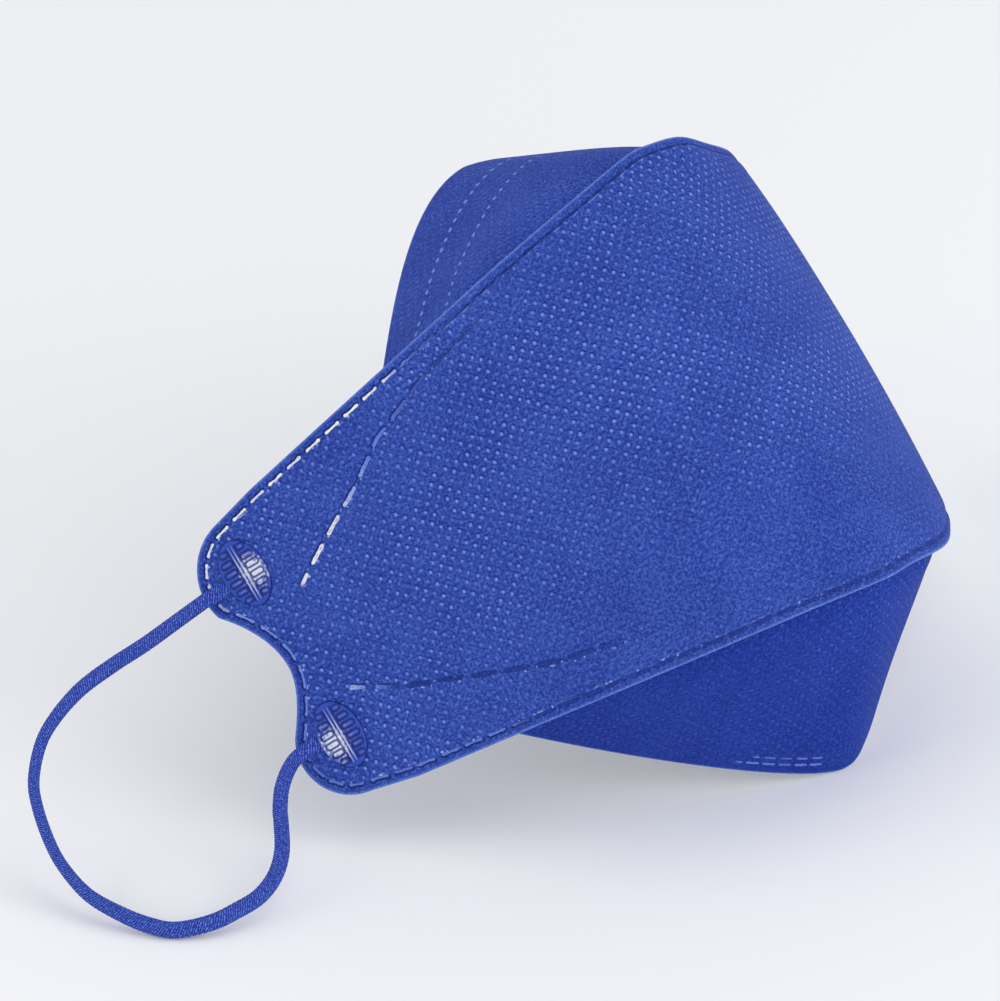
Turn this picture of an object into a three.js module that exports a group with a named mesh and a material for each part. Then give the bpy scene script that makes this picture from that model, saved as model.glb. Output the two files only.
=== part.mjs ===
// Disposable three-panel respirator, opened as if just taken out of its bag and set down
// on its chin edge. Millimetres, +Z up, front towards -Y, wearer's left side at +X.
//
// The panels are drawn the way they are made: each is a flat cut, laid out with u along the
// panel (0 at the middle, + to the wearer's left ear) and v up it, and then bent into place.

import * as THREE from 'three';

// ---- driving sizes ----------------------------------------------------------------------
const PITCH = THREE.MathUtils.degToRad(44.5);  // the front leans up and back by this much

// middle panel: a round front between two flat wings
const FRONT_RADIUS = 43.7;
const FRONT_TURN = THREE.MathUtils.degToRad(48.5);  // each wing's turn away from the front
const TOP_HEIGHT = 41.6;       // top edge above the middle line, at the front
const TOP_SLOPE = 0.186;       // fall of the top edge towards the ear
const BOTTOM_HEIGHT = 42.2;
const BOTTOM_SLOPE = 0.137;
const APEX_ROUND = 2.3;         // softens the peak of both edges at the front
const BULGE = 2.4;             // the front swells outwards by this much
const BULGE_REACH = 90;
const LEAN_BACK = 0.8;         // the top of the front leans back by this much
const LEAN_REACH = 70;

// ear end of the middle panel: two round lobes with a shallow notch between them; each lobe's
// arc runs from one angle to the other, in radians up from the ear's direction
const FAN_FROM = 88;           // the straight part of the panel ends here
const UPPER_LOBE = { u: 93.7, v: 13.1, radius: 10.6, from: -0.33, to: Math.PI / 2 - 0.22 };
const LOWER_LOBE = { u: 95.1, v: -19.1, radius: 9.3, from: -Math.PI / 2 + 0.14, to: 0.54 };
const NOTCH = { u: 97.7, v: -3.1, reachDown: 4, reachUp: 4.5 };
const LEAVE_LOWER = { u: -2.4, v: 3.2 };  // how the edge curves out of the lower lobe
const ENTER_UPPER = { u: -3.3, v: -3.5 };  // and into the upper one

// nose and chin panels: welded behind the middle panel, then free to the face edge
const PANEL_WALL = 1.2;
const FLAP_WALL = 1.0;
const GAP = 0.3;               // clearance between neighbouring pieces
const FLANGE = 3.4;            // from the cut edge to the weld line
const FLAP_INSET = 0.5;        // the flaps' cut edge stops short of the middle panel's
const FOLD_BACK = 1.7;         // behind the weld the cloth folds back on itself this far off
const PUFF_FULL = 30;          // a flap puffs out fully where its cloth runs this far or more,
const PUFF_RISE = 0.12;        // mostly within this share of its run from the weld,
const PUFF_ROUND = 12;         // and straight forward within this distance of its middle
const NOSE = {
  side: 1, end: { u: 88.8, v: 7.7 }, weldFrom: 42, weldPower: 2.2,
  centre: { y: 40.2, z: 57.2 }, lead: { x: 30.7, y: -1.2, z: -2 }, tail: { along: 13.1, z: -11.7 },
  puff: 4.3,
};
const CHIN = {
  side: -1, end: { u: 89.3, v: -12.7 }, weldFrom: 35, weldPower: 2.0,
  centre: { y: 34.5, z: -66.7 }, lead: { x: 11.5, y: -0.8, z: -0.9 }, tail: { along: 7.8, z: -12 },
  puff: 4,
};

// ear loops: knitted elastic cord, its ends pressed flat under oval welds
const WELD = { halfAlong: 4.0, halfUp: 6.2, wall: 1.0 };
const WELD_SPOTS = { upper: { u: 95.8, v: 13.9 }, lower: { u: 95.8, v: -17.6 } };
const CORD_DIAMETER = 2.6;
const CORD_SIDES = 8;
const CORD_STEPS = 40;

// grid densities
const PANEL_ROWS = 20;
const COLUMN_STEP = 4.4;
const FAN_COLUMNS = 4;
const FLAP_COLUMNS = 20;
const FLAP_LOBE_COLUMNS = 8;
const FLANGE_ROWS = 2;
const FREE_ROWS = 8;
const OUTLINE_POINTS = 200;    // fine steps round the ear end, of which the flaps take a few
const WELD_SIDES = 20;
const WELD_RINGS = 2;

const CLOTH = { color: 0x2f4aa6, roughness: 0.85, metalness: 0 };
const FLAP_CLOTH = { color: 0x2b449c, roughness: 0.85, metalness: 0 };
const WELD_FILM = { color: 0x4a63b8, roughness: 0.45, metalness: 0 };
const ELASTIC = { color: 0x27408f, roughness: 0.9, metalness: 0 };

// ---- the middle panel's shape -------------------------------------------------------------
const FRONT_ARC = FRONT_RADIUS * FRONT_TURN;

const softAbs = (u) => Math.sqrt(u * u + APEX_ROUND ** 2) - APEX_ROUND / 2;

function topEdge(u) {
  return TOP_HEIGHT - TOP_SLOPE * softAbs(u);
}

function bottomEdge(u) {
  return -(BOTTOM_HEIGHT - BOTTOM_SLOPE * softAbs(u));
}

// how far the cloth swells out of the plain bend, at (u, v)
function swell(u, v) {
  const bulge = BULGE * (1 - (v / TOP_HEIGHT) ** 2) * Math.max(0, 1 - (u / BULGE_REACH) ** 2);
  const rise = Math.max(0, (v - 12) / (TOP_HEIGHT - 12));
  return bulge - LEAN_BACK * rise ** 2 * Math.max(0, 1 - (u / LEAN_REACH) ** 2);
}

// (u, v) on the flat cut, and a distance out of it, to a point of the bent panel
function bend(u, v, out = 0) {
  const turn = Math.min(Math.abs(u), FRONT_ARC) / FRONT_RADIUS;
  const wing = Math.max(0, Math.abs(u) - FRONT_ARC);
  const lift = swell(u, v) + out;
  const x = FRONT_RADIUS * Math.sin(turn) + wing * Math.cos(FRONT_TURN) + lift * Math.sin(turn);
  const y = FRONT_RADIUS * (1 - Math.cos(turn)) + wing * Math.sin(FRONT_TURN) - lift * Math.cos(turn);
  return new THREE.Vector3(Math.sign(u) * x, y, v);
}

// the outline round the ear end, from the bottom edge to the top edge; inset draws it smaller
function earOutline(inset = 0) {
  const path = new THREE.Path();
  const notch = NOTCH.u - inset;
  const upper = UPPER_LOBE.radius - inset;
  path.moveTo(FAN_FROM, bottomEdge(FAN_FROM) + inset);
  path.absarc(LOWER_LOBE.u, LOWER_LOBE.v, LOWER_LOBE.radius - inset, LOWER_LOBE.from, LOWER_LOBE.to, false);
  const leave = path.currentPoint.clone();
  path.bezierCurveTo(
    leave.x + LEAVE_LOWER.u, leave.y + LEAVE_LOWER.v, notch, NOTCH.v - NOTCH.reachDown, notch, NOTCH.v,
  );
  const enterU = UPPER_LOBE.u + upper * Math.cos(UPPER_LOBE.from);
  const enterV = UPPER_LOBE.v + upper * Math.sin(UPPER_LOBE.from);
  path.bezierCurveTo(
    notch, NOTCH.v + NOTCH.reachUp, enterU + ENTER_UPPER.u, enterV + ENTER_UPPER.v, enterU, enterV,
  );
  path.absarc(UPPER_LOBE.u, UPPER_LOBE.v, upper, UPPER_LOBE.from, UPPER_LOBE.to, false);
  path.lineTo(FAN_FROM, topEdge(FAN_FROM) - inset);
  return path;
}

// ---- from a skin of quads to a closed wall ------------------------------------------------
class Skin {
  constructor() {
    this.points = [];
    this.faces = [];
    this.seen = new Map();
  }

  vertex(point) {
    const key = point.toArray().map((n) => Math.round(n * 1e4)).join();
    if (!this.seen.has(key)) this.seen.set(key, this.points.push(point) - 1);
    return this.seen.get(key);
  }

  face(corners) {
    const loop = corners.filter((corner, i) => corner !== corners[(i + 1) % corners.length]);
    for (let i = 1; i + 1 < loop.length; i += 1) this.faces.push([loop[0], loop[i], loop[i + 1]]);
  }

  // rows[j][i] are points; flip turns the faces over
  grid(rows, flip = false) {
    const index = rows.map((row) => row.map((point) => this.vertex(point)));
    for (let j = 0; j + 1 < index.length; j += 1) {
      for (let i = 0; i + 1 < index[j].length; i += 1) {
        const corners = [index[j][i], index[j][i + 1], index[j + 1][i + 1], index[j + 1][i]];
        this.face(flip ? corners.reverse() : corners);
      }
    }
    return this;
  }

  normals() {
    const sums = this.points.map(() => new THREE.Vector3());
    for (const [a, b, c] of this.faces) {
      const ab = this.points[b].clone().sub(this.points[a]);
      const ac = this.points[c].clone().sub(this.points[a]);
      const normal = ab.cross(ac);
      for (const corner of [a, b, c]) sums[corner].add(normal);
    }
    return sums.map((sum) => sum.normalize());
  }

  // a closed wall with this skin in its middle
  wall(thickness) {
    const count = this.points.length;
    const normals = this.normals();
    const shifted = (p, i, half) => p.clone().addScaledVector(normals[i], half).toArray();
    const place = (half) => this.points.flatMap((p, i) => shifted(p, i, half));
    const positions = [...place(thickness / 2), ...place(-thickness / 2)];
    const index = this.faces.flatMap(([a, b, c]) => [a, b, c, c + count, b + count, a + count]);
    const edges = new Set(this.faces.flatMap(([a, b, c]) => [`${a},${b}`, `${b},${c}`, `${c},${a}`]));
    for (const edge of edges) {
      const [a, b] = edge.split(',').map(Number);
      if (!edges.has(`${b},${a}`)) index.push(b, a, a + count, a + count, b + count, b);
    }
    const geometry = new THREE.BufferGeometry();
    geometry.setAttribute('position', new THREE.Float32BufferAttribute(positions, 3));
    geometry.setIndex(index);
    geometry.computeVertexNormals();
    return geometry;
  }
}

const mirrored = (rows) => rows.map((row) => row.map((p) => new THREE.Vector3(-p.x, p.y, p.z)));

function addPiece(parent, name, geometry, finish) {
  const mesh = new THREE.Mesh(geometry, new THREE.MeshStandardMaterial(finish));
  mesh.name = name;
  parent.add(mesh);
}

// ---- middle panel ---------------------------------------------------------------------------
function middlePanel() {
  const rows = [];
  const ear = earOutline().getSpacedPoints(PANEL_ROWS);
  const straight = Math.round(FAN_FROM / COLUMN_STEP);
  for (let j = 0; j <= PANEL_ROWS; j += 1) {
    const row = [];
    for (let i = 0; i <= straight; i += 1) {
      const u = (FAN_FROM * i) / straight;
      row.push(bend(u, THREE.MathUtils.lerp(bottomEdge(u), topEdge(u), j / PANEL_ROWS)));
    }
    const v = THREE.MathUtils.lerp(bottomEdge(FAN_FROM), topEdge(FAN_FROM), j / PANEL_ROWS);
    for (let i = 1; i <= FAN_COLUMNS; i += 1) {
      const k = i / FAN_COLUMNS;
      row.push(bend(THREE.MathUtils.lerp(FAN_FROM, ear[j].x, k), THREE.MathUtils.lerp(v, ear[j].y, k)));
    }
    rows.push(row);
  }
  return new Skin().grid(rows).grid(mirrored(rows), true).wall(PANEL_WALL);
}

// ---- nose and chin panels -----------------------------------------------------------------
const FLAP_DEPTH = -(PANEL_WALL / 2 + GAP + FLAP_WALL / 2);

// the weld line on the middle panel, which leaves its edge and runs in to the flap's end
function weldLine(flap, u) {
  const edge = flap.side > 0 ? topEdge(u) : bottomEdge(u);
  const atEnd = flap.side > 0 ? topEdge(flap.end.u) : bottomEdge(flap.end.u);
  const share = Math.max(0, (u - flap.weldFrom) / (flap.end.u - flap.weldFrom)) ** flap.weldPower;
  return edge - flap.side * FLANGE + (flap.end.v - atEnd + flap.side * FLANGE) * share;
}

// the free edge, from the middle of the face opening to the flap's end at the ear
function freeEdge(flap) {
  const end = bend(flap.end.u, flap.end.v, FLAP_DEPTH - FOLD_BACK);
  const start = new THREE.Vector3(0, flap.centre.y, flap.centre.z);
  const lead = start.clone().add(new THREE.Vector3(flap.lead.x, flap.lead.y, flap.lead.z));
  const inward = new THREE.Vector3(-Math.cos(FRONT_TURN), -Math.sin(FRONT_TURN), 0);
  const tail = end.clone().addScaledVector(inward, flap.tail.along);
  tail.z += flap.tail.z;
  return new THREE.CubicBezierCurve3(start, lead, tail, end);
}

// the flap's own cut edge, behind the middle panel's, from the middle round to the notch
function flapCut(flap) {
  const straight = Array.from({ length: FLAP_COLUMNS + 1 }, (_, i) => {
    const u = (flap.end.u * i) / FLAP_COLUMNS;
    const edge = flap.side > 0 ? topEdge(u) : bottomEdge(u);
    return new THREE.Vector2(u, edge - flap.side * FLAP_INSET);
  });
  const outline = earOutline(FLAP_INSET).getSpacedPoints(OUTLINE_POINTS);
  const half = outline.filter((p) => p.x > flap.end.u && (p.y - NOTCH.v) * flap.side > GAP / 2);
  if (flap.side > 0) half.reverse();
  const lobe = Array.from({ length: FLAP_LOBE_COLUMNS }, (_, i) => {
    return half[Math.round(((half.length - 1) * (i + 1)) / FLAP_LOBE_COLUMNS)];
  });
  return [...straight, ...lobe];
}

// a row of the free cloth, at share t of its run from the weld to the free edge
function freeRow(flap, weld, edge, t) {
  const rise = (1 - Math.exp(-t / PUFF_RISE)) * (1 - t);
  return weld.map((p, i) => {
    const along = weld[Math.min(i + 1, weld.length - 1)].clone().sub(weld[Math.max(i - 1, 0)]);
    const run = edge[i].clone().sub(p);
    const out = along.cross(run).multiplyScalar(flap.side);
    out.x *= Math.min(1, p.x / PUFF_ROUND);
    const puff = flap.puff * Math.min(1, run.length() / PUFF_FULL) ** 2;
    return p.clone().addScaledVector(run, t).addScaledVector(out.normalize(), puff * rise);
  });
}

function flapPanel(flap) {
  const cut = flapCut(flap);
  const meet = cut[cut.length - 1];
  const edge = freeEdge(flap).getSpacedPoints(FLAP_COLUMNS);
  const weld = cut.map((p, i) => {
    if (i <= FLAP_COLUMNS) return new THREE.Vector2(p.x, weldLine(flap, p.x));
    const k = (i - FLAP_COLUMNS) / FLAP_LOBE_COLUMNS;
    return new THREE.Vector2(flap.end.u, flap.end.v).lerp(meet, k);
  });
  const flange = [];
  for (let j = 0; j <= FLANGE_ROWS; j += 1) {
    flange.push(cut.map((p, i) => {
      const flat = p.clone().lerp(weld[i], j / FLANGE_ROWS);
      return bend(flat.x, flat.y, FLAP_DEPTH);
    }));
  }
  // the cloth turns over at the weld line and then runs out to the free edge
  const seam = weld.slice(0, FLAP_COLUMNS + 1);
  const turned = seam.map((p) => bend(p.x, p.y, FLAP_DEPTH - FOLD_BACK));
  const free = [seam.map((p) => bend(p.x, p.y, FLAP_DEPTH))];
  for (let j = 0; j <= FREE_ROWS; j += 1) {
    free.push(freeRow(flap, turned, edge, j / FREE_ROWS));
  }
  const flip = flap.side > 0;
  const skin = new Skin().grid(flange, flip).grid(free, flip);
  skin.grid(mirrored(flange), !flip).grid(mirrored(free), !flip);
  return skin.wall(FLAP_WALL);
}

// ---- ear welds and loops --------------------------------------------------------------------
function earWeld(spot, side) {
  const rings = [];
  for (let ring = 0; ring <= WELD_RINGS; ring += 1) {
    const share = ring / WELD_RINGS;
    rings.push(Array.from({ length: WELD_SIDES + 1 }, (_, i) => {
      const angle = ((i % WELD_SIDES) * 2 * Math.PI) / WELD_SIDES;
      const u = spot.u + WELD.halfAlong * share * Math.cos(angle);
      const v = spot.v + WELD.halfUp * share * Math.sin(angle);
      return bend(side * u, v, PANEL_WALL / 2 + GAP + WELD.wall / 2);
    }));
  }
  return new Skin().grid(rings, side > 0).wall(WELD.wall);
}

// Each loop's route, weld to weld, in the standing part's frame: set by hand, as a cord falls.
// The right loop props the mask up in front of its ear; the left one has folded in behind it.
const RIGHT_LOOP = [
  [-76.3, 33, 39.1], [-77.8, 34.2, 37.8], [-82.6, 37.3, 34], [-88, 39.9, 30.6], [-93.8, 42.2, 27.9],
  [-99.7, 43.9, 25.1], [-105.5, 44.2, 21.7], [-109.1, 43.5, 19.1], [-113.5, 40.7, 14.9],
  [-115.4, 37.8, 12.1], [-117.5, 32.6, 8.4], [-118.4, 28.7, 6.2], [-118.9, 22, 3.9],
  [-117.5, 15.3, 2.5], [-116, 11.2, 1.8], [-113.7, 7.4, 1.4], [-108.8, 3.3, 2.4], [-104.6, 1.9, 3.2],
  [-100.1, 1.2, 4], [-95.5, 2.2, 5.2], [-91.6, 4.5, 6.7], [-87, 9.3, 8.4], [-85.7, 10.8, 9.4],
  [-82.9, 12.9, 12.1], [-79.6, 13.4, 15.1], [-76.3, 11.7, 17.5],
];
const LEFT_LOOP = [
  [76.3, 33.3, 39.4], [80, 36.2, 36.5], [83.2, 39.8, 32.6], [85, 44.8, 27.2], [85.2, 50.4, 20.6],
  [84, 56, 13.6], [81, 61.3, 7.5], [76.4, 65.7, 3.7], [71, 68.7, 2.1], [65.8, 68.8, 1.5],
  [61.9, 65.4, 1.4], [60.6, 60, 1.4], [61.8, 54, 1.5], [64.6, 48.4, 2.1], [67.8, 42.8, 3.1],
  [71, 37.4, 4.3], [74.4, 32.2, 5.8], [78, 27.4, 7.5], [81.2, 22.6, 9.6], [81.7, 18.2, 12.4],
  [79.6, 14.8, 15], [76.3, 12, 17.8],
];

function cordTube(points) {
  const radius = CORD_DIAMETER / 2;
  const section = new THREE.Shape();
  for (let i = 0; i < CORD_SIDES; i += 1) {
    const angle = (i * 2 * Math.PI) / CORD_SIDES;
    section[i ? 'lineTo' : 'moveTo'](radius * Math.cos(angle), radius * Math.sin(angle));
  }
  const route = new THREE.CatmullRomCurve3(points.map((p) => new THREE.Vector3(...p)));
  return new THREE.ExtrudeGeometry(section, { steps: CORD_STEPS, extrudePath: route, bevelEnabled: false });
}

// ---- assembly ---------------------------------------------------------------------------------
const respirator = new THREE.Group();
const mask = new THREE.Group();
mask.rotation.x = -PITCH;
respirator.add(mask);

addPiece(mask, 'middle_panel', middlePanel(), CLOTH);
addPiece(mask, 'nose_panel', flapPanel(NOSE), FLAP_CLOTH);
addPiece(mask, 'chin_panel', flapPanel(CHIN), FLAP_CLOTH);
for (const [sideName, side] of [['left', 1], ['right', -1]]) {
  for (const [level, spot] of Object.entries(WELD_SPOTS)) {
    addPiece(mask, `ear_weld_${level}_${sideName}`, earWeld(spot, side), WELD_FILM);
  }
}

// the mask without its loops stands on the origin, with the loops laid round it
const stand = new THREE.Box3().setFromObject(mask, true);
mask.position.set(0, -(stand.min.y + stand.max.y) / 2, -stand.min.z);
addPiece(respirator, 'ear_loop_right', cordTube(RIGHT_LOOP), ELASTIC);
addPiece(respirator, 'ear_loop_left', cordTube(LEFT_LOOP), ELASTIC);

export default respirator;
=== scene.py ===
# %% [markdown]
# # A disposable respirator, opened and set down on its chin edge
# The mask is three cut panels of nonwoven cloth, welded along dashed lines, with two loops
# of knitted elastic pressed onto its ear ends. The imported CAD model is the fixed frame: it
# says where every piece is. This script dresses it: each solid is replaced by a finer piece
# of the same shape, with the cloth, welds and knit that the solid leaves out.

# %% Load the frame
import math

import bpy
import numpy as np
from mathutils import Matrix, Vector


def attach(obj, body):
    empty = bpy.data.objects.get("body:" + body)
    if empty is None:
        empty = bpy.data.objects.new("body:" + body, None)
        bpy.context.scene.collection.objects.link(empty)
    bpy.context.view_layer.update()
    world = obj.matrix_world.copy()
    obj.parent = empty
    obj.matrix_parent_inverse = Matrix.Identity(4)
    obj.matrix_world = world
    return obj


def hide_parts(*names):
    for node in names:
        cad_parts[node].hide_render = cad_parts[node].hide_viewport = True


MM = 0.001
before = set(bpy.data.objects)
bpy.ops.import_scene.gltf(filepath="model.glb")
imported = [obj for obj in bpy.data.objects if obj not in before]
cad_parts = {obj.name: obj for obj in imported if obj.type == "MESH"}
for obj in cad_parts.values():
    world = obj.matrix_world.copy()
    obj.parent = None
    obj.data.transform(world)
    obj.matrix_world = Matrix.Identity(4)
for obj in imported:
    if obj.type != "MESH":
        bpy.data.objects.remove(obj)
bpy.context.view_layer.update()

# %% [markdown]
# ## Camera
# A product picture looks at the mask from in front of its right ear, a little over half a
# metre away and from above. A long lens keeps the panels' edges nearly parallel. The
# camera is placed by its position and the direction it looks in; to_track_quat turns that
# direction into a rotation with no roll.

# %% Camera
CAMERA_PLACE = Vector((-0.4993, -0.42567, 0.42694))
CAMERA_AIM = Vector((0.6279, 0.5864, -0.5117))
LENS_MM = 157.2

camera_data = bpy.data.cameras.new("camera")
camera_data.lens = LENS_MM
camera_data.sensor_width = 36.0
camera = bpy.data.objects.new("camera", camera_data)
camera.location = CAMERA_PLACE
camera.rotation_mode = "QUATERNION"
camera.rotation_quaternion = CAMERA_AIM.to_track_quat("-Z", "Y")
bpy.context.scene.collection.objects.link(camera)
bpy.context.scene.camera = camera
bpy.context.scene.view_settings.view_transform = "Standard"

# %% [markdown]
# ## From the flat cut to the standing mask
# A panel is drawn where it was cut, on the flat: u runs along it from the middle to the
# ear, v runs up it. bend() rolls the flat panel round the front, and stand_up() leans the
# finished mask back and puts it on the floor. The sizes are the CAD model's own. settle()
# adds small moves that cloth makes under its own weight: each is a distance, with the
# stretch of x, y and z over which it comes in. Working on the flat means that seams and bond
# dots can be laid out in real millimetres.

# %% Panel sizes and the bend
PITCH = math.radians(44.5)
STAND = np.array((0.0, -19.528, 71.839)) * MM
FRONT_RADIUS = 43.7 * MM
FRONT_TURN = math.radians(48.5)
FRONT_ARC = FRONT_RADIUS * FRONT_TURN
TOP_HEIGHT, TOP_SLOPE = 41.6 * MM, 0.186
BOTTOM_HEIGHT, BOTTOM_SLOPE = 42.2 * MM, 0.137
APEX_ROUND = 2.3 * MM
BULGE, BULGE_REACH = 2.4 * MM, 90 * MM
LEAN_BACK, LEAN_REACH, LEAN_FROM = 0.8 * MM, 70 * MM, 12 * MM
SINK, SINK_X, SINK_FRONT, SINK_Z = 1.6 * MM, (-0.15 * MM, 24 * MM), (-30 * MM, 10 * MM), (0, 30 * MM)
RISE, RISE_X, RISE_Y, RISE_Z = 1.3 * MM, (11 * MM, 7 * MM), (8 * MM, 6 * MM), (84 * MM, 98 * MM)
TIP, TIP_X, TIP_FRONT, TIP_Z = 2.0 * MM, (15 * MM, 9 * MM), (28 * MM, 38 * MM), (40 * MM, 5.5 * MM)
TIP_WAY = np.array((0.42, -0.86, -0.3))


def soft_abs(u):
    return np.sqrt(u * u + APEX_ROUND**2) - APEX_ROUND / 2


def top_edge(u):
    return TOP_HEIGHT - TOP_SLOPE * soft_abs(u)


def bottom_edge(u):
    return -(BOTTOM_HEIGHT - BOTTOM_SLOPE * soft_abs(u))


def swell(u, v):
    """How far the cloth swells out of the plain bend."""
    bulge = BULGE * (1 - (v / TOP_HEIGHT) ** 2) * np.maximum(0, 1 - (u / BULGE_REACH) ** 2)
    rise = np.maximum(0, (v - LEAN_FROM) / (TOP_HEIGHT - LEAN_FROM))
    return bulge - LEAN_BACK * rise**2 * np.maximum(0, 1 - (u / LEAN_REACH) ** 2)


def stand_up(points):
    """Mask-frame points, leant back and stood on the floor."""
    cos, sin = math.cos(PITCH), math.sin(PITCH)
    y = points[..., 1] * cos + points[..., 2] * sin
    z = points[..., 2] * cos - points[..., 1] * sin
    return np.stack([points[..., 0], y, z], -1) + STAND


def eased(value, low, high):
    """0 below low, 1 above high, and a smooth step between."""
    share = np.clip((value - low) / (high - low), 0, 1)
    return share * share * (3 - 2 * share)


def near(value, centre, reach):
    return np.exp(-(((value - centre) / reach) ** 2))


def settle(points):
    """Standing cloth as it has settled: the far front sinks a little, where nothing props it
    up, the apex is pushed up by its fold, and the front tip of the lower seam rounds out."""
    x, y, z = points[..., 0], points[..., 1], points[..., 2]
    sink = SINK * eased(x, *SINK_X) * eased(-y, *SINK_FRONT) * eased(z, *SINK_Z)
    rise = RISE * near(x, *RISE_X) * near(y, *RISE_Y) * eased(z, *RISE_Z)
    tip = TIP * near(x, *TIP_X) * near(z, *TIP_Z) * eased(-y, *TIP_FRONT)
    return points + (rise - sink)[..., None] * np.array((0, 0, 1)) + tip[..., None] * TIP_WAY


def bend(u, v, out=0.0):
    """Flat (u, v), and a distance out of the cloth, as a point of the bent panel."""
    turn = np.minimum(np.abs(u), FRONT_ARC) / FRONT_RADIUS
    wing = np.maximum(0, np.abs(u) - FRONT_ARC)
    lift = swell(u, v) + out
    x = (FRONT_RADIUS + lift) * np.sin(turn) + wing * math.cos(FRONT_TURN)
    y = FRONT_RADIUS - (FRONT_RADIUS + lift) * np.cos(turn) + wing * math.sin(FRONT_TURN)
    return np.stack([np.sign(u) * x, y, v + 0 * x], -1)


# %% [markdown]
# ## Ear loops
# Each loop is about 140 mm of knitted elastic, 2.6 mm thick. Its route is a list of
# points, the same as the CAD model's, and a Catmull-Rom curve runs smoothly through them.
# The tube is made ring by ring along that curve, because a ring can then be pressed flat
# where the weld holds the cord, and each ring can carry the ribs of the knit.

# %% Loop routes
CORD_DIAMETER = 2.6 * MM
RIGHT_LOOP = np.array([
    (-76.3, 33, 39.1), (-77.8, 34.2, 37.8), (-82.6, 37.3, 34), (-88, 39.9, 30.6),
    (-93.8, 42.2, 27.9), (-99.7, 43.9, 25.1), (-105.5, 44.2, 21.7), (-109.1, 43.5, 19.1),
    (-113.5, 40.7, 14.9), (-115.4, 37.8, 12.1), (-117.5, 32.6, 8.4), (-118.4, 28.7, 6.2),
    (-118.9, 22, 3.9), (-117.5, 15.3, 2.5), (-116, 11.2, 1.8), (-113.7, 7.4, 1.4),
    (-108.8, 3.3, 2.4), (-104.6, 1.9, 3.2), (-100.1, 1.2, 4), (-95.5, 2.2, 5.2),
    (-91.6, 4.5, 6.7), (-87, 9.3, 8.4), (-85.7, 10.8, 9.4), (-82.9, 12.9, 12.1),
    (-79.6, 13.4, 15.1), (-76.3, 11.7, 17.5),
]) * MM
LEFT_LOOP = np.array([
    (76.3, 33.3, 39.4), (80, 36.2, 36.5), (83.2, 39.8, 32.6), (85, 44.8, 27.2),
    (85.2, 50.4, 20.6), (84, 56, 13.6), (81, 61.3, 7.5), (76.4, 65.7, 3.7), (71, 68.7, 2.1),
    (65.8, 68.8, 1.5), (61.9, 65.4, 1.4), (60.6, 60, 1.4), (61.8, 54, 1.5), (64.6, 48.4, 2.1),
    (67.8, 42.8, 3.1), (71, 37.4, 4.3), (74.4, 32.2, 5.8), (78, 27.4, 7.5), (81.2, 22.6, 9.6),
    (81.7, 18.2, 12.4), (79.6, 14.8, 15), (76.3, 12, 17.8),
]) * MM


def measured_along(line):
    """Distance along a polyline at each of its points."""
    steps = np.linalg.norm(np.diff(line, axis=0), axis=1)
    return np.concatenate([[0], np.cumsum(steps)])


def resample(line, shares):
    """Points of a polyline at the given shares of its length."""
    along = measured_along(line)
    at = np.asarray(shares) * along[-1]
    return np.stack([np.interp(at, along, line[:, k]) for k in range(line.shape[1])], 1)


def smooth_route(points, per_span=24):
    """A centripetal Catmull-Rom curve through the points."""
    ends = [2 * points[0] - points[1]], [2 * points[-1] - points[-2]]
    p = np.concatenate([ends[0], points, ends[1]])
    knots = np.concatenate([[0], np.cumsum(np.linalg.norm(np.diff(p, axis=0), axis=1) ** 0.5)])
    line = []
    for i in range(1, len(p) - 2):
        t0, t1, t2, t3 = knots[i - 1:i + 3]
        t = np.linspace(t1, t2, per_span, endpoint=False)[:, None]
        a = ((t1 - t) * p[i - 1] + (t - t0) * p[i]) / (t1 - t0)
        b = ((t2 - t) * p[i] + (t - t1) * p[i + 1]) / (t2 - t1)
        c = ((t3 - t) * p[i + 1] + (t - t2) * p[i + 2]) / (t3 - t2)
        d = ((t2 - t) * a + (t - t0) * b) / (t2 - t0)
        e = ((t3 - t) * b + (t - t1) * c) / (t3 - t1)
        line.append(((t2 - t) * d + (t - t1) * e) / (t2 - t1))
    return np.concatenate(line + [points[-1:]])


# %% [markdown]
# ## Turning numbers into meshes
# Sheets and tubes are grids of points: rows by columns. grid_faces() joins neighbours into
# quads, and make_mesh() builds the object, with a UV map in metres and any number of
# values per point, which materials read by name.

# %% Mesh helpers
def grid_faces(rows, columns, closed=False):
    """Quads of a rows x columns grid; closed joins the last column to the first."""
    r = np.arange(rows - 1)[:, None]
    c = np.arange(columns if closed else columns - 1)[None, :]
    step = (c + 1) % columns
    quads = [r * columns + c, r * columns + step, (r + 1) * columns + step, (r + 1) * columns + c]
    return np.stack([q.ravel() for q in quads], 1)


def make_mesh(name, points, faces, flat=None, values=()):
    """A mesh object, with its UV map 'flat' (per point or per corner) and named point values."""
    mesh = bpy.data.meshes.new(name)
    mesh.from_pydata(points.tolist(), [], faces.tolist())
    if flat is not None:
        at_corners = flat if len(flat) == faces.size else flat[faces.ravel()]
        layer = mesh.uv_layers.new(name="flat")
        layer.data.foreach_set("uv", at_corners.astype(np.float32).ravel())
    for value_name, value in dict(values).items():
        layer = mesh.attributes.new(value_name, "FLOAT", "POINT")
        layer.data.foreach_set("value", np.asarray(value, np.float32).ravel())
    made = bpy.data.objects.new(name, mesh)
    bpy.context.scene.collection.objects.link(made)
    return made


def select_only(piece):
    bpy.ops.object.select_all(action="DESELECT")
    piece.select_set(True)
    bpy.context.view_layer.objects.active = piece


def weld_doubles(piece):
    """Merge points that lie on each other."""
    select_only(piece)
    bpy.ops.object.mode_set(mode="EDIT")
    bpy.ops.mesh.select_all(action="SELECT")
    bpy.ops.mesh.remove_doubles(threshold=0.01 * MM)
    bpy.ops.object.mode_set(mode="OBJECT")


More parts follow.
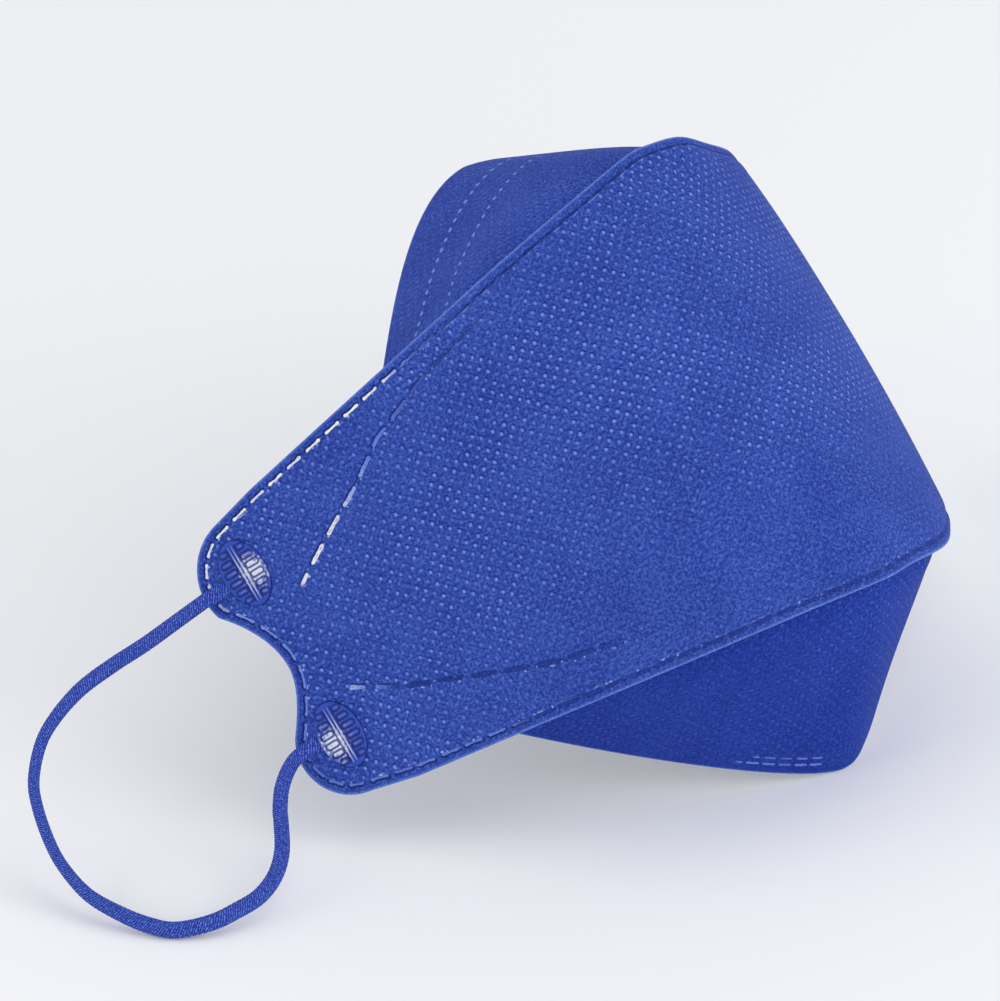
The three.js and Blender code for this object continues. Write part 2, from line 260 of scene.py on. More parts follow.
def face_outwards(piece):
    select_only(piece)
    bpy.ops.object.mode_set(mode="EDIT")
    bpy.ops.mesh.select_all(action="SELECT")
    bpy.ops.mesh.normals_make_consistent(inside=False)
    bpy.ops.object.mode_set(mode="OBJECT")


def measure(piece):
    points = np.array([v.co for v in piece.data.vertices])
    size = (points.max(0) - points.min(0)) / MM
    print(f"{piece.name}: {len(piece.data.polygons)} faces, {size.round(1).tolist()} mm")


# %% [markdown]
# The elastic is a soft, slightly flat band. Laid in a loop it turns as it goes, so that its
# broad side shows in one place and its edge in another: BAND_TURN lists how far it has
# turned along the loop. The knit roughens the band's outline, so its ribs are modelled: the
# radius rises and falls with two waves that cross. At each end the ring is squashed against
# the cloth, as the weld squashes the band, and dives under the weld's edge.

# %% Knitted band
RING_SIDES = 44
RING_STEP = 0.17 * MM
HALF_BROAD, HALF_THIN = 1.42 * MM, 1.0 * MM
RIB_HEIGHT = 0.10 * MM
RIBS_ROUND = 10
STITCH = 0.9 * MM
PRESSED_LENGTH, SUNK, FLATTENED, SPREAD = 7.0 * MM, 1.5 * MM, 0.72, 0.22
DIVE_START, DIVE_END, DIVE_DEPTH, DIVE_FLATTENED = 6.4 * MM, 3.6 * MM, 0.9 * MM, 0.16
TAIL = 2.4 * MM
BAND_FACES = np.array((-0.63, -0.59, 0.51))
BAND_TURN = ((0, 35), (0.2, 30), (0.34, 70), (0.42, 90), (0.5, 60), (0.62, 5), (0.72, 0),
             (0.85, 35), (1, 35))


def band_frames(line):
    """The broad and the thin direction of the band at each point of its route."""
    ahead = np.gradient(line, axis=0)
    ahead /= np.linalg.norm(ahead, axis=1, keepdims=True)
    across = np.cross(ahead, BAND_FACES)
    across /= np.linalg.norm(across, axis=1, keepdims=True)
    square = np.cross(ahead, across)
    share = np.linspace(0, 1, len(line))
    turn = np.radians(np.interp(share, *zip(*BAND_TURN)))[:, None]
    return np.cos(turn) * across + np.sin(turn) * square, np.cos(turn) * square - np.sin(turn) * across


def wing_normal(side):
    """The direction out of the cloth at an ear."""
    flat = np.array([side * math.sin(FRONT_TURN), -math.cos(FRONT_TURN), 0])
    return stand_up(flat) - STAND


def with_tails(points):
    """The route, carried straight on past both ends, where the welds hold it."""
    first, last = points[0] - points[1], points[-1] - points[-2]
    start = points[0] + first / np.linalg.norm(first) * TAIL
    end = points[-1] + last / np.linalg.norm(last) * TAIL
    return np.concatenate([[start], points, [end]])


def knit_height(along, angle):
    """Height of the knit, -1 to 1: slanted ribs crossed by a finer wave of stitches."""
    wale = np.cos(RIBS_ROUND * angle + 2 * math.pi * along / STITCH)
    course = np.cos(4 * math.pi * along / STITCH - 3 * angle)
    return 0.6 * wale + 0.4 * course


def close_ends(piece):
    select_only(piece)
    bpy.ops.object.mode_set(mode="EDIT")
    bpy.ops.mesh.select_mode(type="EDGE")
    bpy.ops.mesh.select_all(action="DESELECT")
    bpy.ops.mesh.select_non_manifold()
    bpy.ops.mesh.fill()
    bpy.ops.object.mode_set(mode="OBJECT")
    face_outwards(piece)


def knit_rings(line, along):
    """Rings of points round the band's middle line, and the knit's height at each point."""
    broad, thin = band_frames(line)
    angle = np.linspace(0, 2 * math.pi, RING_SIDES, endpoint=False)[None, :]
    knit = knit_height(along[:, None], angle)
    swollen = (1 + RIB_HEIGHT / CORD_DIAMETER * (knit - 1))[..., None]
    rings = (HALF_BROAD * broad[:, None, :] * np.cos(angle)[..., None]
             + HALF_THIN * thin[:, None, :] * np.sin(angle)[..., None])
    return rings * swollen, angle, knit


def knitted_band(name, points, side):
    route = smooth_route(with_tails(points))
    count = int(measured_along(route)[-1] / RING_STEP)
    line = resample(route, np.linspace(0, 1, count))
    along = measured_along(line)
    rings, angle, knit = knit_rings(line, along)
    from_end = np.minimum(along, along[-1] - along)
    press = eased(PRESSED_LENGTH - from_end, 0, PRESSED_LENGTH)
    dive = eased(DIVE_START - from_end, 0, DIVE_START - DIVE_END)
    squash = FLATTENED * press + DIVE_FLATTENED * dive
    normal = wing_normal(side)
    rings -= ((rings @ normal) * squash[:, None])[..., None] * normal
    rings *= (1 + SPREAD * press)[:, None, None]
    centre = line - (SUNK * press)[:, None] * normal
    tube = (centre - (DIVE_DEPTH * dive)[:, None] * normal)[:, None, :] + rings
    faces = grid_faces(count, RING_SIDES, closed=True)
    at = np.stack([np.repeat(along, RING_SIDES), np.tile(angle.ravel(), count)], 1)[faces]
    at[RING_SIDES - 1::RING_SIDES, 1:3, 1] = 2 * math.pi
    at[..., 1] *= CORD_DIAMETER / 2
    ribs = {"rib": 0.5 + 0.5 * knit.ravel()}
    piece = make_mesh(name, tube.reshape(-1, 3), faces, at.reshape(-1, 2), ribs)
    close_ends(piece)
    piece.data.shade_smooth()
    print(f"{name}: {along[-1] / MM:.1f} mm of cord")
    return piece


loops = {
    "right": knitted_band("loop_right", RIGHT_LOOP, -1),
    "left": knitted_band("loop_left", LEFT_LOOP, 1),
}

# %% [markdown]
# ## The panel outline and its seams
# The ear end is two round lobes with a notch between them. Every weld follows a line on
# the flat: the outer seam runs a little inside the whole outline, and an inner seam leaves
# it where the nose or chin panel is joined on, and runs to the ear. For each point of the
# cloth, nearest_on() gives how far it is from such a line and how far along it, and those two
# numbers are all that a material needs to draw dashes that follow the line.

# %% Outline and seam lines
FAN_FROM = 88 * MM
UPPER_LOBE = dict(u=93.7 * MM, v=13.1 * MM, radius=10.6 * MM, start=-0.33, end=math.pi / 2 - 0.22)
LOWER_LOBE = dict(u=95.1 * MM, v=-19.1 * MM, radius=9.3 * MM, start=-math.pi / 2 + 0.14, end=0.54)
NOTCH_U, NOTCH_V, NOTCH_DOWN, NOTCH_UP = 97.7 * MM, -3.1 * MM, 4 * MM, 4.5 * MM
LEAVE_LOWER = np.array((-2.4, 3.2)) * MM
ENTER_UPPER = np.array((-3.3, -3.5)) * MM
FLANGE = 3.4 * MM
NOSE = dict(
    side=1, end=(88.8 * MM, 7.7 * MM), weld_from=42 * MM, weld_power=2.2,
    centre=(40.2 * MM, 57.2 * MM), lead=(30.7 * MM, -1.2 * MM, -2.0 * MM), tail=(13.1 * MM, -11.7 * MM),
    puff=4.3 * MM,
)
CHIN = dict(
    side=-1, end=(89.3 * MM, -12.7 * MM), weld_from=35 * MM, weld_power=2.0,
    centre=(34.5 * MM, -66.7 * MM), lead=(11.5 * MM, -0.8 * MM, -0.9 * MM), tail=(7.8 * MM, -12.0 * MM),
    puff=4.0 * MM,
)


def arc(lobe, inset, count=40):
    angle = np.linspace(lobe["start"], lobe["end"], count)
    radius = lobe["radius"] - inset
    return np.stack([lobe["u"] + radius * np.cos(angle), lobe["v"] + radius * np.sin(angle)], 1)


def bezier(a, b, c, d, count=40):
    t = np.linspace(0, 1, count)[:, None]
    a, b, c, d = (np.asarray(p, float) for p in (a, b, c, d))
    return (1 - t) ** 3 * a + 3 * (1 - t) ** 2 * t * b + 3 * (1 - t) * t**2 * c + t**3 * d


def ear_outline(inset=0.0):
    """Round the ear end from the bottom edge to the top edge."""
    lower, upper = arc(LOWER_LOBE, inset), arc(UPPER_LOBE, inset)
    notch = np.array((NOTCH_U - inset, NOTCH_V))
    leave, enter = lower[-1], upper[0]
    down = bezier(leave, leave + LEAVE_LOWER, notch - (0, NOTCH_DOWN), notch)
    up = bezier(notch, notch + (0, NOTCH_UP), enter + ENTER_UPPER, enter)
    start = [(FAN_FROM, bottom_edge(FAN_FROM) + inset)]
    stop = [(FAN_FROM, top_edge(FAN_FROM) - inset)]
    return np.concatenate([start, lower, down[1:-1], up[:-1], upper, stop])


def weld_line(flap, u):
    """Height of a flap's weld above the middle line, at u."""
    edge = top_edge if flap["side"] > 0 else bottom_edge
    end_u, end_v = flap["end"]
    share = np.maximum(0, (u - flap["weld_from"]) / (end_u - flap["weld_from"])) ** flap["weld_power"]
    flange = flap["side"] * FLANGE
    return edge(u) - flange + (end_v - edge(end_u) + flange) * share


def nearest_on(points, line):
    """Distance of each flat point from a polyline, + on its left, and the place along it."""
    along = measured_along(line)
    best = np.full(len(points), np.inf)
    signed, place = np.zeros(len(points)), np.zeros(len(points))
    for i in range(len(line) - 1):
        span, past = line[i + 1] - line[i], points - line[i]
        length = np.linalg.norm(span)
        if length < 1e-9:
            continue
        share = np.clip(past @ span / length**2, 0, 1)
        away = np.linalg.norm(past - share[:, None] * span, axis=1)
        closer = away < best
        left = np.where(span[0] * past[:, 1] - span[1] * past[:, 0] < 0, -1, 1)
        best[closer] = away[closer]
        signed[closer] = (left * away)[closer]
        place[closer] = along[i] + share[closer] * length
    return signed, place


OUTLINE_TOP_U = np.linspace(0, FAN_FROM, 60)
EAR = ear_outline()
OUTLINE = np.concatenate([
    np.stack([OUTLINE_TOP_U, top_edge(OUTLINE_TOP_U)], 1), EAR[::-1][1:],
    np.stack([OUTLINE_TOP_U[::-1], bottom_edge(OUTLINE_TOP_U[::-1])], 1)[1:],
])
UPPER_INNER = np.array([
    (24, 33.4), (30, 32), (41.8, 29), (53.3, 26), (64.7, 21.5), (71.5, 16.9), (76.2, 14.3),
    (81.6, 11.4), (86.5, 8.5), (88.5, 7.2)]) * MM
LOWER_INNER = np.array([
    (40, -29.8), (46, -28.6), (51.7, -27.2), (56, -26.3), (60.8, -24.8), (65.5, -23), (70.6, -21),
    (75.7, -18.9), (82.1, -16.4), (88, -13), (90.4, -11.7)]) * MM
print("outline round one half, mm:", round(measured_along(OUTLINE)[-1] / MM, 1))

# %% [markdown]
# ## Middle panel
# The largest piece is one sheet from ear to ear. It is a grid: columns across its straight
# part, then a fan of columns that opens into the lobes. A press has squeezed the layers
# together along each seam, so the cloth dips there and is thinnest at its cut edge; a
# Solidify modifier, with a thickness weight on the points, turns the sheet into that wall.
# Its inner face gets the second material, the white lining, and its rim the third. The
# modifier only offsets a material that has a slot, so the three slots are made before it.

# %% Middle panel
PANEL_WALL = 1.2 * MM
PANEL_ROWS = 112
STRAIGHT_COLUMNS = 100
FAN_COLUMNS = 30
EDGE_CROWDING = 0.45
SEAM_INSET = 1.7 * MM
SEAM_PITCH = 4.35 * MM
INNER_PITCH = 5.6 * MM
SEAM_DIP, SEAM_WIDTH, SEAM_EVEN, SEAM_DASH = 0.3 * MM, 0.9 * MM, 0.6, 0.65
INNER_DIP, INNER_WIDTH, INNER_EVEN, INNER_DASH = 0.39 * MM, 1.08 * MM, 0.5, 0.75
INNER_FROM, INNER_TO, INNER_BESIDE = (6 * MM, 22 * MM), 90 * MM, 3 * MM
VALLEY, VALLEY_WIDTH, VALLEY_FROM = 0.4 * MM, 4.5 * MM, (6 * MM, 30 * MM)
FAINT, FAINT_DOWN, FAINT_OUT, FAINT_FADE = 0.75, (6 * MM, 24 * MM), 78 * MM, 22 * MM
OUTLINE_DASHED = ((0, 0.0), (40, 0.0), (50, 0.5), (58, 1.0), (186, 1.0), (194, 0.65), (300, 0.6))
# The _PALE tables say how pale the dashes are painted along each seam, in mm along it: a painted
# reflection of their glossy film.
OUTLINE_PALE = ((0, 0.1), (45, 0.2), (53, 0.35), (60, 0.75), (66, 1.0), (100, 1.0), (107, 0.85),
                (116, 0.7), (133, 0.45), (160, 0.35), (172, 0.45), (185, 0.4), (192, 0.08), (280, 0.02))
UPPER_DASHED = ((0, 0.0), (10, 0.0), (24, 0.6), (34, 1.0), (80, 1.0))
UPPER_PALE = ((0, 0.05), (24, 0.1), (36, 0.25), (46, 0.5), (56, 0.75), (66, 1.0))
LOWER_DASHED = ((0, 0.1), (12, 0.75), (50, 0.9))
LOWER_PALE = ((0, 0.02), (40, 0.02), (46, 0.08), (50, 0.5), (56, 0.8))
THIN_EDGE, THIN_REACH, THIN_POWER = 0.45, 2.6 * MM, 0.8


def crowded(count, crowding):
    """Shares from 0 to 1, closer together at both ends."""
    even = np.linspace(0, 1, count + 1)
    return even - crowding * np.sin(2 * math.pi * even) / (2 * math.pi)


def half_panel_grid():
    shares = crowded(PANEL_ROWS, EDGE_CROWDING)
    ear = resample(EAR, shares)
    u = np.linspace(0, FAN_FROM, STRAIGHT_COLUMNS + 1)
    straight_u = np.repeat(u[None, :], PANEL_ROWS + 1, 0)
    straight_v = bottom_edge(u) + (top_edge(u) - bottom_edge(u)) * shares[:, None]
    k = np.linspace(0, 1, FAN_COLUMNS + 1)[1:]
    fan_u = FAN_FROM + (ear[:, :1] - FAN_FROM) * k
    fan_v = straight_v[:, -1:] + (ear[:, 1:] - straight_v[:, -1:]) * k
    return np.hstack([straight_u, fan_u]), np.hstack([straight_v, fan_v])


def both_sides(half, sign=1):
    """A half grid and its mirror image, joined at the middle column."""
    return np.hstack([sign * half[:, :0:-1], half])


def dash(along, pitch, share):
    """1 on a dash, 0 in a gap, with soft ends."""
    phase = np.abs((along / pitch) % 1 - 0.5) * 2
    return np.clip((share - phase) / 0.12 + 0.5, 0, 1)


def from_table(places, table):
    """Values read off a table of (place in mm, value) pairs."""
    return np.interp(places / MM, *zip(*table))


def seam_values(u, v):
    """What the cloth knows of its seams: distance from and along them, and how they look."""
    flat = np.stack([np.abs(u).ravel(), v.ravel()], 1)
    inset, outline_at = nearest_on(flat, OUTLINE)
    upper_off, upper_at = nearest_on(flat, UPPER_INNER)
    lower_off, lower_at = nearest_on(flat, LOWER_INNER)
    upper = np.abs(upper_off) < np.abs(lower_off)
    off, at = np.where(upper, upper_off, lower_off), np.where(upper, upper_at, lower_at)
    end = np.where(upper, measured_along(UPPER_INNER)[-1], measured_along(LOWER_INNER)[-1])
    beside = (np.abs(off) < INNER_BESIDE) & (at > 0) & (at < end)
    shown = np.where(upper, from_table(at, UPPER_DASHED), from_table(at, LOWER_DASHED))
    return dict(
        inset=np.abs(inset), outline_at=outline_at,
        dashed=from_table(outline_at, OUTLINE_DASHED), pale=from_table(outline_at, OUTLINE_PALE),
        inner_off=off, inner_at=at, inner_dashed=beside * shown, inner_creased=beside * (1 - shown),
        inner_pale=np.where(upper, from_table(at, UPPER_PALE), from_table(at, LOWER_PALE)),
    )


def finish_sheet(piece, wall, weight):
    """Thicken a sheet into a wall that is thinner where the weight is low."""
    weld_doubles(piece)
    group = piece.vertex_groups.new(name="thick")
    for i, w in enumerate(weight(piece)):
        group.add([i], float(w), "REPLACE")
    for _ in range(3):
        piece.data.materials.append(None)
    solidify = piece.modifiers.new("wall", "SOLIDIFY")
    solidify.thickness = wall
    solidify.offset = 0
    solidify.vertex_group = "thick"
    solidify.material_offset = 1
    solidify.material_offset_rim = 2
    select_only(piece)
    bpy.ops.object.modifier_apply(modifier="wall")
    bpy.ops.object.shade_smooth_by_angle(angle=math.radians(70))
    piece.vertex_groups.clear()


def point_values(piece, name):
    values = np.zeros(len(piece.data.vertices), np.float32)
    piece.data.attributes[name].data.foreach_get("value", values)
    return values


def edge_weight(piece):
    inset = point_values(piece, "inset")
    return THIN_EDGE + (1 - THIN_EDGE) * np.clip(inset / THIN_REACH, 0, 1) ** THIN_POWER


def bond_strength(u, v):
    """How deep the dots are bitten, 0 to 1: they are faint low on the front."""
    faint = eased(-v, *FAINT_DOWN) * eased(FAINT_OUT - np.abs(u), 0, FAINT_FADE)
    return (1 - FAINT * faint).ravel()


def seam_dip(u, seams):
    """How far the press and the fold push the cloth in along its seams, as a height."""
    outer = near(seams["inset"], SEAM_INSET, SEAM_WIDTH)
    bitten = dash(seams["outline_at"], SEAM_PITCH, SEAM_DASH) * seams["dashed"]
    outer *= SEAM_EVEN + (1 - SEAM_EVEN) * bitten
    off, at = seams["inner_off"], seams["inner_at"]
    inner = near(off, 0, INNER_WIDTH) * eased(at, *INNER_FROM) * (np.abs(u).ravel() < INNER_TO)
    inner *= INNER_EVEN + (1 - INNER_EVEN) * dash(at, INNER_PITCH, INNER_DASH)
    valley = VALLEY * near(off, 0, VALLEY_WIDTH) * eased(at, *VALLEY_FROM)
    return (-SEAM_DIP * outer - INNER_DIP * inner - valley).reshape(u.shape)


def middle_panel():
    half_u, half_v = half_panel_grid()
    u, v = both_sides(half_u, -1), both_sides(half_v)
    seams = seam_values(u, v)
    seams["bonded"] = bond_strength(u, v)
    points = settle(stand_up(bend(u, v, seam_dip(u, seams)))).reshape(-1, 3)
    flat = np.stack([u.ravel(), v.ravel()], 1)
    piece = make_mesh("panel_middle", points, grid_faces(*u.shape), flat, seams)
    finish_sheet(piece, PANEL_WALL, edge_weight)
    measure(piece)
    return piece


panel_middle = middle_panel()

# %% [markdown]
# ## Nose and chin panels
# Behind the middle panel each flap is welded flat, along its cut edge. At the weld line the
# cloth turns over on itself and runs out to the free edge, which meets the face. So a flap
# is two grids that share the weld line: the flange, and the free part, a surface stretched
# between the weld line and a Bezier curve for the free edge.

# %% Flaps
FLAP_WALL = 1.0 * MM
GAP = 0.3 * MM
FLAP_INSET = 0.5 * MM
FOLD_BACK = 1.7 * MM
FLAP_DEPTH = -(PANEL_WALL / 2 + GAP + FLAP_WALL / 2)
FLAP_COLUMNS = 120
LOBE_COLUMNS = 36
FLANGE_ROWS = 8
FREE_ROWS = 56
PUFF_FULL, PUFF_ROUND, PUFF_RISE = 30 * MM, 12 * MM, 0.12
FAR_INSIDE = 50 * MM


def free_edge(flap):
    """The flap's free edge, from the middle of the face opening to the ear, in the mask frame."""
    end = bend(*flap["end"], FLAP_DEPTH - FOLD_BACK)
    start = np.array((0, *flap["centre"]))
    inward = np.array((-math.cos(FRONT_TURN), -math.sin(FRONT_TURN), 0))
    tail = end + inward * flap["tail"][0] + (0, 0, flap["tail"][1])
    return bezier(start, start + flap["lead"], tail, end, 400)


def flap_cut(flap):
    """The flap's cut edge on the flat, from the middle round the lobe to the notch."""
    side = flap["side"]
    u = np.linspace(0, flap["end"][0], FLAP_COLUMNS + 1)
    edge = top_edge(u) if side > 0 else bottom_edge(u)
    straight = np.stack([u, edge - side * FLAP_INSET], 1)
    line = resample(ear_outline(FLAP_INSET), np.linspace(0, 1, 401))
    half = line[(line[:, 0] > flap["end"][0]) & ((line[:, 1] - NOTCH_V) * side > GAP / 2)]
    half = half[::-1] if side > 0 else half
    lobe = resample(half, np.linspace(0, 1, LOBE_COLUMNS + 1)[1:])
    return np.concatenate([straight, lobe])


def flap_grids(flap):
    """The flange and the free part as grids of mask-frame points, with their flat places."""
    cut = flap_cut(flap)
    seam = np.stack([cut[:FLAP_COLUMNS + 1, 0], weld_line(flap, cut[:FLAP_COLUMNS + 1, 0])], 1)
    k = np.linspace(0, 1, LOBE_COLUMNS + 1)[1:, None]
    end = np.array(flap["end"])
    weld = np.concatenate([seam, end + (cut[-1] - end) * k])
    j = np.linspace(0, 1, FLANGE_ROWS + 1)[:, None, None]
    flange_flat = cut + (weld - cut) * j
    flange = bend(flange_flat[..., 0], flange_flat[..., 1], FLAP_DEPTH)
    edge = resample(free_edge(flap), np.linspace(0, 1, FLAP_COLUMNS + 1))
    root = bend(seam[:, 0], seam[:, 1], FLAP_DEPTH)
    turned = bend(seam[:, 0], seam[:, 1], FLAP_DEPTH - FOLD_BACK)
    t = np.linspace(0, 1, FREE_ROWS + 1)[:, None, None]
    run = turned + (edge - turned) * t
    length = np.linalg.norm(edge - turned, axis=1)
    outward = np.cross(np.gradient(turned, axis=0), edge - turned) * flap["side"]
    outward[:, 0] *= np.clip(turned[:, 0] / PUFF_ROUND, 0, 1)
    outward /= np.maximum(np.linalg.norm(outward, axis=1, keepdims=True), 1e-12)
    puff = flap["puff"] * np.clip(length / PUFF_FULL, 0, 1) ** 2
    run = run + (1 - np.exp(-t / PUFF_RISE)) * (1 - t) * (puff[:, None] * outward)
    free = np.concatenate([root[None], run])
    down = np.concatenate([[0], np.linspace(0, 1, FREE_ROWS + 1)])[:, None] * length
    along = measured_along(edge)[None, :] + 0 * down
    free_flat = np.stack([along, flap["side"] * down], -1)
    return flange, flange_flat, free, free_flat


def mirrored(grid):
    return np.concatenate([grid[:, :0:-1] * np.array((-1,) + (1,) * (grid.shape[-1] - 1)), grid], 1)


def flap_panel(name, flap):
    flange, flange_flat, free, free_flat = flap_grids(flap)
    grids = [mirrored(flange), mirrored(free)]
    points = np.concatenate([settle(stand_up(grid)).reshape(-1, 3) for grid in grids])
    first, second = grid_faces(*grids[0].shape[:2]), grid_faces(*grids[1].shape[:2])
    faces = np.concatenate([first, second + grids[0].shape[0] * grids[0].shape[1]])
    if flap["side"] < 0:
        faces = faces[:, ::-1]
    flat = np.concatenate([mirrored(f).reshape(-1, 2) for f in (flange_flat, free_flat)])
    reach = np.abs(free_flat[-1:, :, 1]) - np.abs(free_flat[..., 1])
    on_flange = np.full(flange.shape[:2], FAR_INSIDE)
    inset = np.concatenate([both_sides(on_flange).ravel(), both_sides(reach).ravel()])
    piece = make_mesh(name, points, faces, flat, dict(inset=inset, bonded=np.ones(len(inset))))
    finish_sheet(piece, FLAP_WALL, edge_weight)
    measure(piece)
    return piece


panel_nose = flap_panel("panel_nose", NOSE)
panel_chin = flap_panel("panel_chin", CHIN)

# %% [markdown]
# ## Ear welds
# A heated die with a comb pattern presses the cord's ends onto the cloth. It leaves an oval
# of fused film: a split spine down its length and short ribs on both sides, with narrow
# grooves round them. The pad is a fine grid inside the oval whose height is read from that
# pattern, and a second, plain grid closes it underneath. The two tables list ridges (+) and
# grooves (-) as their height share, place and width: along the oval's edge as shares of the
# oval, and along the spine in mm from it.

# %% Ear welds
WELD_SPOTS = {"upper": (95.8 * MM, 13.9 * MM), "lower": (95.8 * MM, -17.6 * MM)}
WELD_HALF_ALONG, WELD_HALF_UP = 4.0 * MM, 6.2 * MM
PAD_UNDER, PAD_BASE, PAD_TOP, PAD_EDGE = 0.2 * MM, 0.45 * MM, 1.05 * MM, 0.95
PAD_RINGS, PAD_SIDES = 34, 128
FIELD_HEIGHT, MOST_HEIGHT, GROOVE = 0.55, 1.15, 0.3 * MM
OVAL_EDGE = ((0.12, 0.9, 0.06), (-0.5, 1.0, 0.05))
SPINE = ((0.4, 0.3, 0.16), (-0.35, 0.0, 0.12), (-0.5, 0.72, 0.14))
SPINE_END, SPINE_FADE = 0.86, 0.05
RIB_PLACES = (-4.3, -2.6, -0.9, 0.9, 2.6, 4.3)
RIB_HALF_WIDTH, RIB_START, RIB_REACH = 0.52 * MM, 1.35 * MM, 0.82
RIB_GROOVE, RIB_GROOVE_WIDTH, RIB_CROWN, RIB_CROWN_WIDTH = 0.6, 0.17 * MM, 0.3, 0.22 * MM
HOT_SPOTS = {"upper": (-1.7 * MM, -0.4 * MM), "lower": (1.5 * MM, -0.8 * MM)}
HOT_REACH, HOT_STRETCH = 2.6 * MM, 0.8


def bump(distance, width):
    return np.exp(-((distance / width) ** 2))


def comb_pattern(a, b):
    """Height share, 0 to 1, of the pressed comb at (a, b) from the weld's middle."""
    oval = np.sqrt((a / WELD_HALF_ALONG) ** 2 + (b / WELD_HALF_UP) ** 2)
    height = FIELD_HEIGHT + sum(rise * bump(oval - place, width) for rise, place, width in OVAL_EDGE)
    on_spine = np.clip((SPINE_END - np.abs(b) / WELD_HALF_UP) / SPINE_FADE, 0, 1)
    for rise, place, width in SPINE:
        height += rise * bump(np.abs(a) - place * MM, width * MM) * on_spine
    for place in RIB_PLACES:
        middle = place * MM
        stop = WELD_HALF_ALONG * math.sqrt(1 - (middle / WELD_HALF_UP) ** 2) * RIB_REACH - RIB_HALF_WIDTH
        beyond = np.maximum(0, np.abs(a) - stop) + np.maximum(0, RIB_START - np.abs(a))
        distance = np.sqrt((b - middle) ** 2 + beyond**2)
        height -= RIB_GROOVE * bump(distance - RIB_HALF_WIDTH, RIB_GROOVE_WIDTH)
        height += RIB_CROWN * bump(distance, RIB_CROWN_WIDTH)
    return np.clip(height, 0, MOST_HEIGHT)


def heat(level, a, b):
    """Where the die was hottest and the film has turned white, 0 to 1."""
    at_a, at_b = HOT_SPOTS[level]
    return bump(np.sqrt((a - at_a) ** 2 + (HOT_STRETCH * (b - at_b)) ** 2), HOT_REACH)


def ear_weld(level, side_name, side):
    centre_u, centre_v = WELD_SPOTS[level]
    share = np.linspace(0, 1, PAD_RINGS + 1)[:, None]
    angle = np.linspace(0, 2 * math.pi, PAD_SIDES, endpoint=False)[None, :]
    a = WELD_HALF_ALONG * share * np.cos(angle)
    b = WELD_HALF_UP * share * np.sin(angle)
    comb = comb_pattern(a, b)
    top = PAD_TOP + GROOVE * (comb - FIELD_HEIGHT)
    top -= (PAD_TOP - PAD_BASE) * np.clip((share - PAD_EDGE) / (1 - PAD_EDGE), 0, 1) ** 2
    u, v = side * (centre_u + a), centre_v + b
    points = np.concatenate([stand_up(bend(u, v, out)).reshape(-1, 3) for out in (top, PAD_UNDER)])
    faces = grid_faces(PAD_RINGS + 1, PAD_SIDES, closed=True)
    rim = np.arange(PAD_SIDES) + PAD_RINGS * PAD_SIDES
    turn, count = np.roll(rim, -1), a.size
    wall = np.stack([rim, turn, turn + count, rim + count], 1)
    faces = np.concatenate([faces, faces[:, ::-1] + count, wall])
    if side > 0:
        faces = faces[:, ::-1]
    flat = np.stack([np.tile(a.ravel(), 2), np.tile(b.ravel(), 2)], 1)
    values = dict(comb=np.tile(comb.ravel(), 2), fused=np.tile(heat(level, a, b).ravel(), 2))
    piece = make_mesh(f"weld_{level}_{side_name}", points, faces, flat, values)
    weld_doubles(piece)
    face_outwards(piece)
    piece.data.shade_smooth()
    measure(piece)
    return piece


welds = {}
for side_name, side in (("left", 1), ("right", -1)):
    for level in WELD_SPOTS:
        welds[level, side_name] = ear_weld(level, side_name, side)

# %% [markdown]
# ## Shader building blocks
# A shader is worked out by nodes that wires join. A Wire here is a value that flows through
# a node tree, and arithmetic on it adds the Math nodes, so that a line of code reads like the
# sum it stands for. Effects that several materials share become node groups, which hand out
# only masks and heights.

# %% Node helpers
class Wire:
    """A value that flows through a node tree; arithmetic on it adds Math nodes."""

    def __init__(self, made, output=0):
        self.tree, self.socket = made.id_data, made.outputs[output]

    def __add__(self, other):
        return maths("ADD", self, other)

    def __sub__(self, other):
        return maths("SUBTRACT", self, other)

    def __rsub__(self, other):
        return maths("SUBTRACT", other, self)

    def __mul__(self, other):
        return maths("MULTIPLY", self, other)

    def __truediv__(self, other):
        return maths("DIVIDE", self, other)

    def __abs__(self):
        return maths("ABSOLUTE", self)


def tree_of(*values):
    return next(value.tree for value in values if isinstance(value, Wire))


def plug(socket, value):
    """Join a wire to a socket, or set the socket to a plain value."""
    if isinstance(value, Wire):
        value.tree.links.new(value.socket, socket)
    else:
        socket.default_value = value


def node(tree, kind, inputs=None, **settings):
    made = tree.nodes.new(kind)
    for name, value in settings.items():
        setattr(made, name, value)
    for name, value in (inputs or {}).items():
        plug(made.inputs[name], value)
    return made


def maths(operation, *values):
    return Wire(node(tree_of(*values), "ShaderNodeMath", dict(enumerate(values)), operation=operation))


def hypotenuse(a, b):
    return maths("SQRT", a * a + b * b)


def ramp(value, low, high, to_low=0.0, to_high=1.0):
    """Value from low..high to to_low..to_high, with soft ends."""
    return Wire(node(value.tree, "ShaderNodeMapRange", {
        "Value": value, "From Min": low, "From Max": high, "To Min": to_low, "To Max": to_high,
    }, interpolation_type="SMOOTHSTEP"), "Result")


def fade(value, low, high, start=1.0):
    """Start below low, 0 above high."""
    return ramp(value, low, high, start, 0.0)


def mix(share, a, b):
    """Colour a where the share is 0, colour b where it is 1."""
    return Wire(node(tree_of(share, a, b), "ShaderNodeMix", {0: share, 6: a, 7: b}, data_type="RGBA"), 2)


def noise(place, scale, detail=2.0, roughness=0.5, output="Fac"):
    return Wire(node(place.tree, "ShaderNodeTexNoise", {
        "Vector": place, "Scale": scale, "Detail": detail, "Roughness": roughness}), output)


def chance(dimensions, **place):
    """A number from 0 to 1 that is the same all over a cell, and different in each."""
    tree = tree_of(*place.values())
    return Wire(node(tree, "ShaderNodeTexWhiteNoise", place, noise_dimensions=dimensions), "Value")


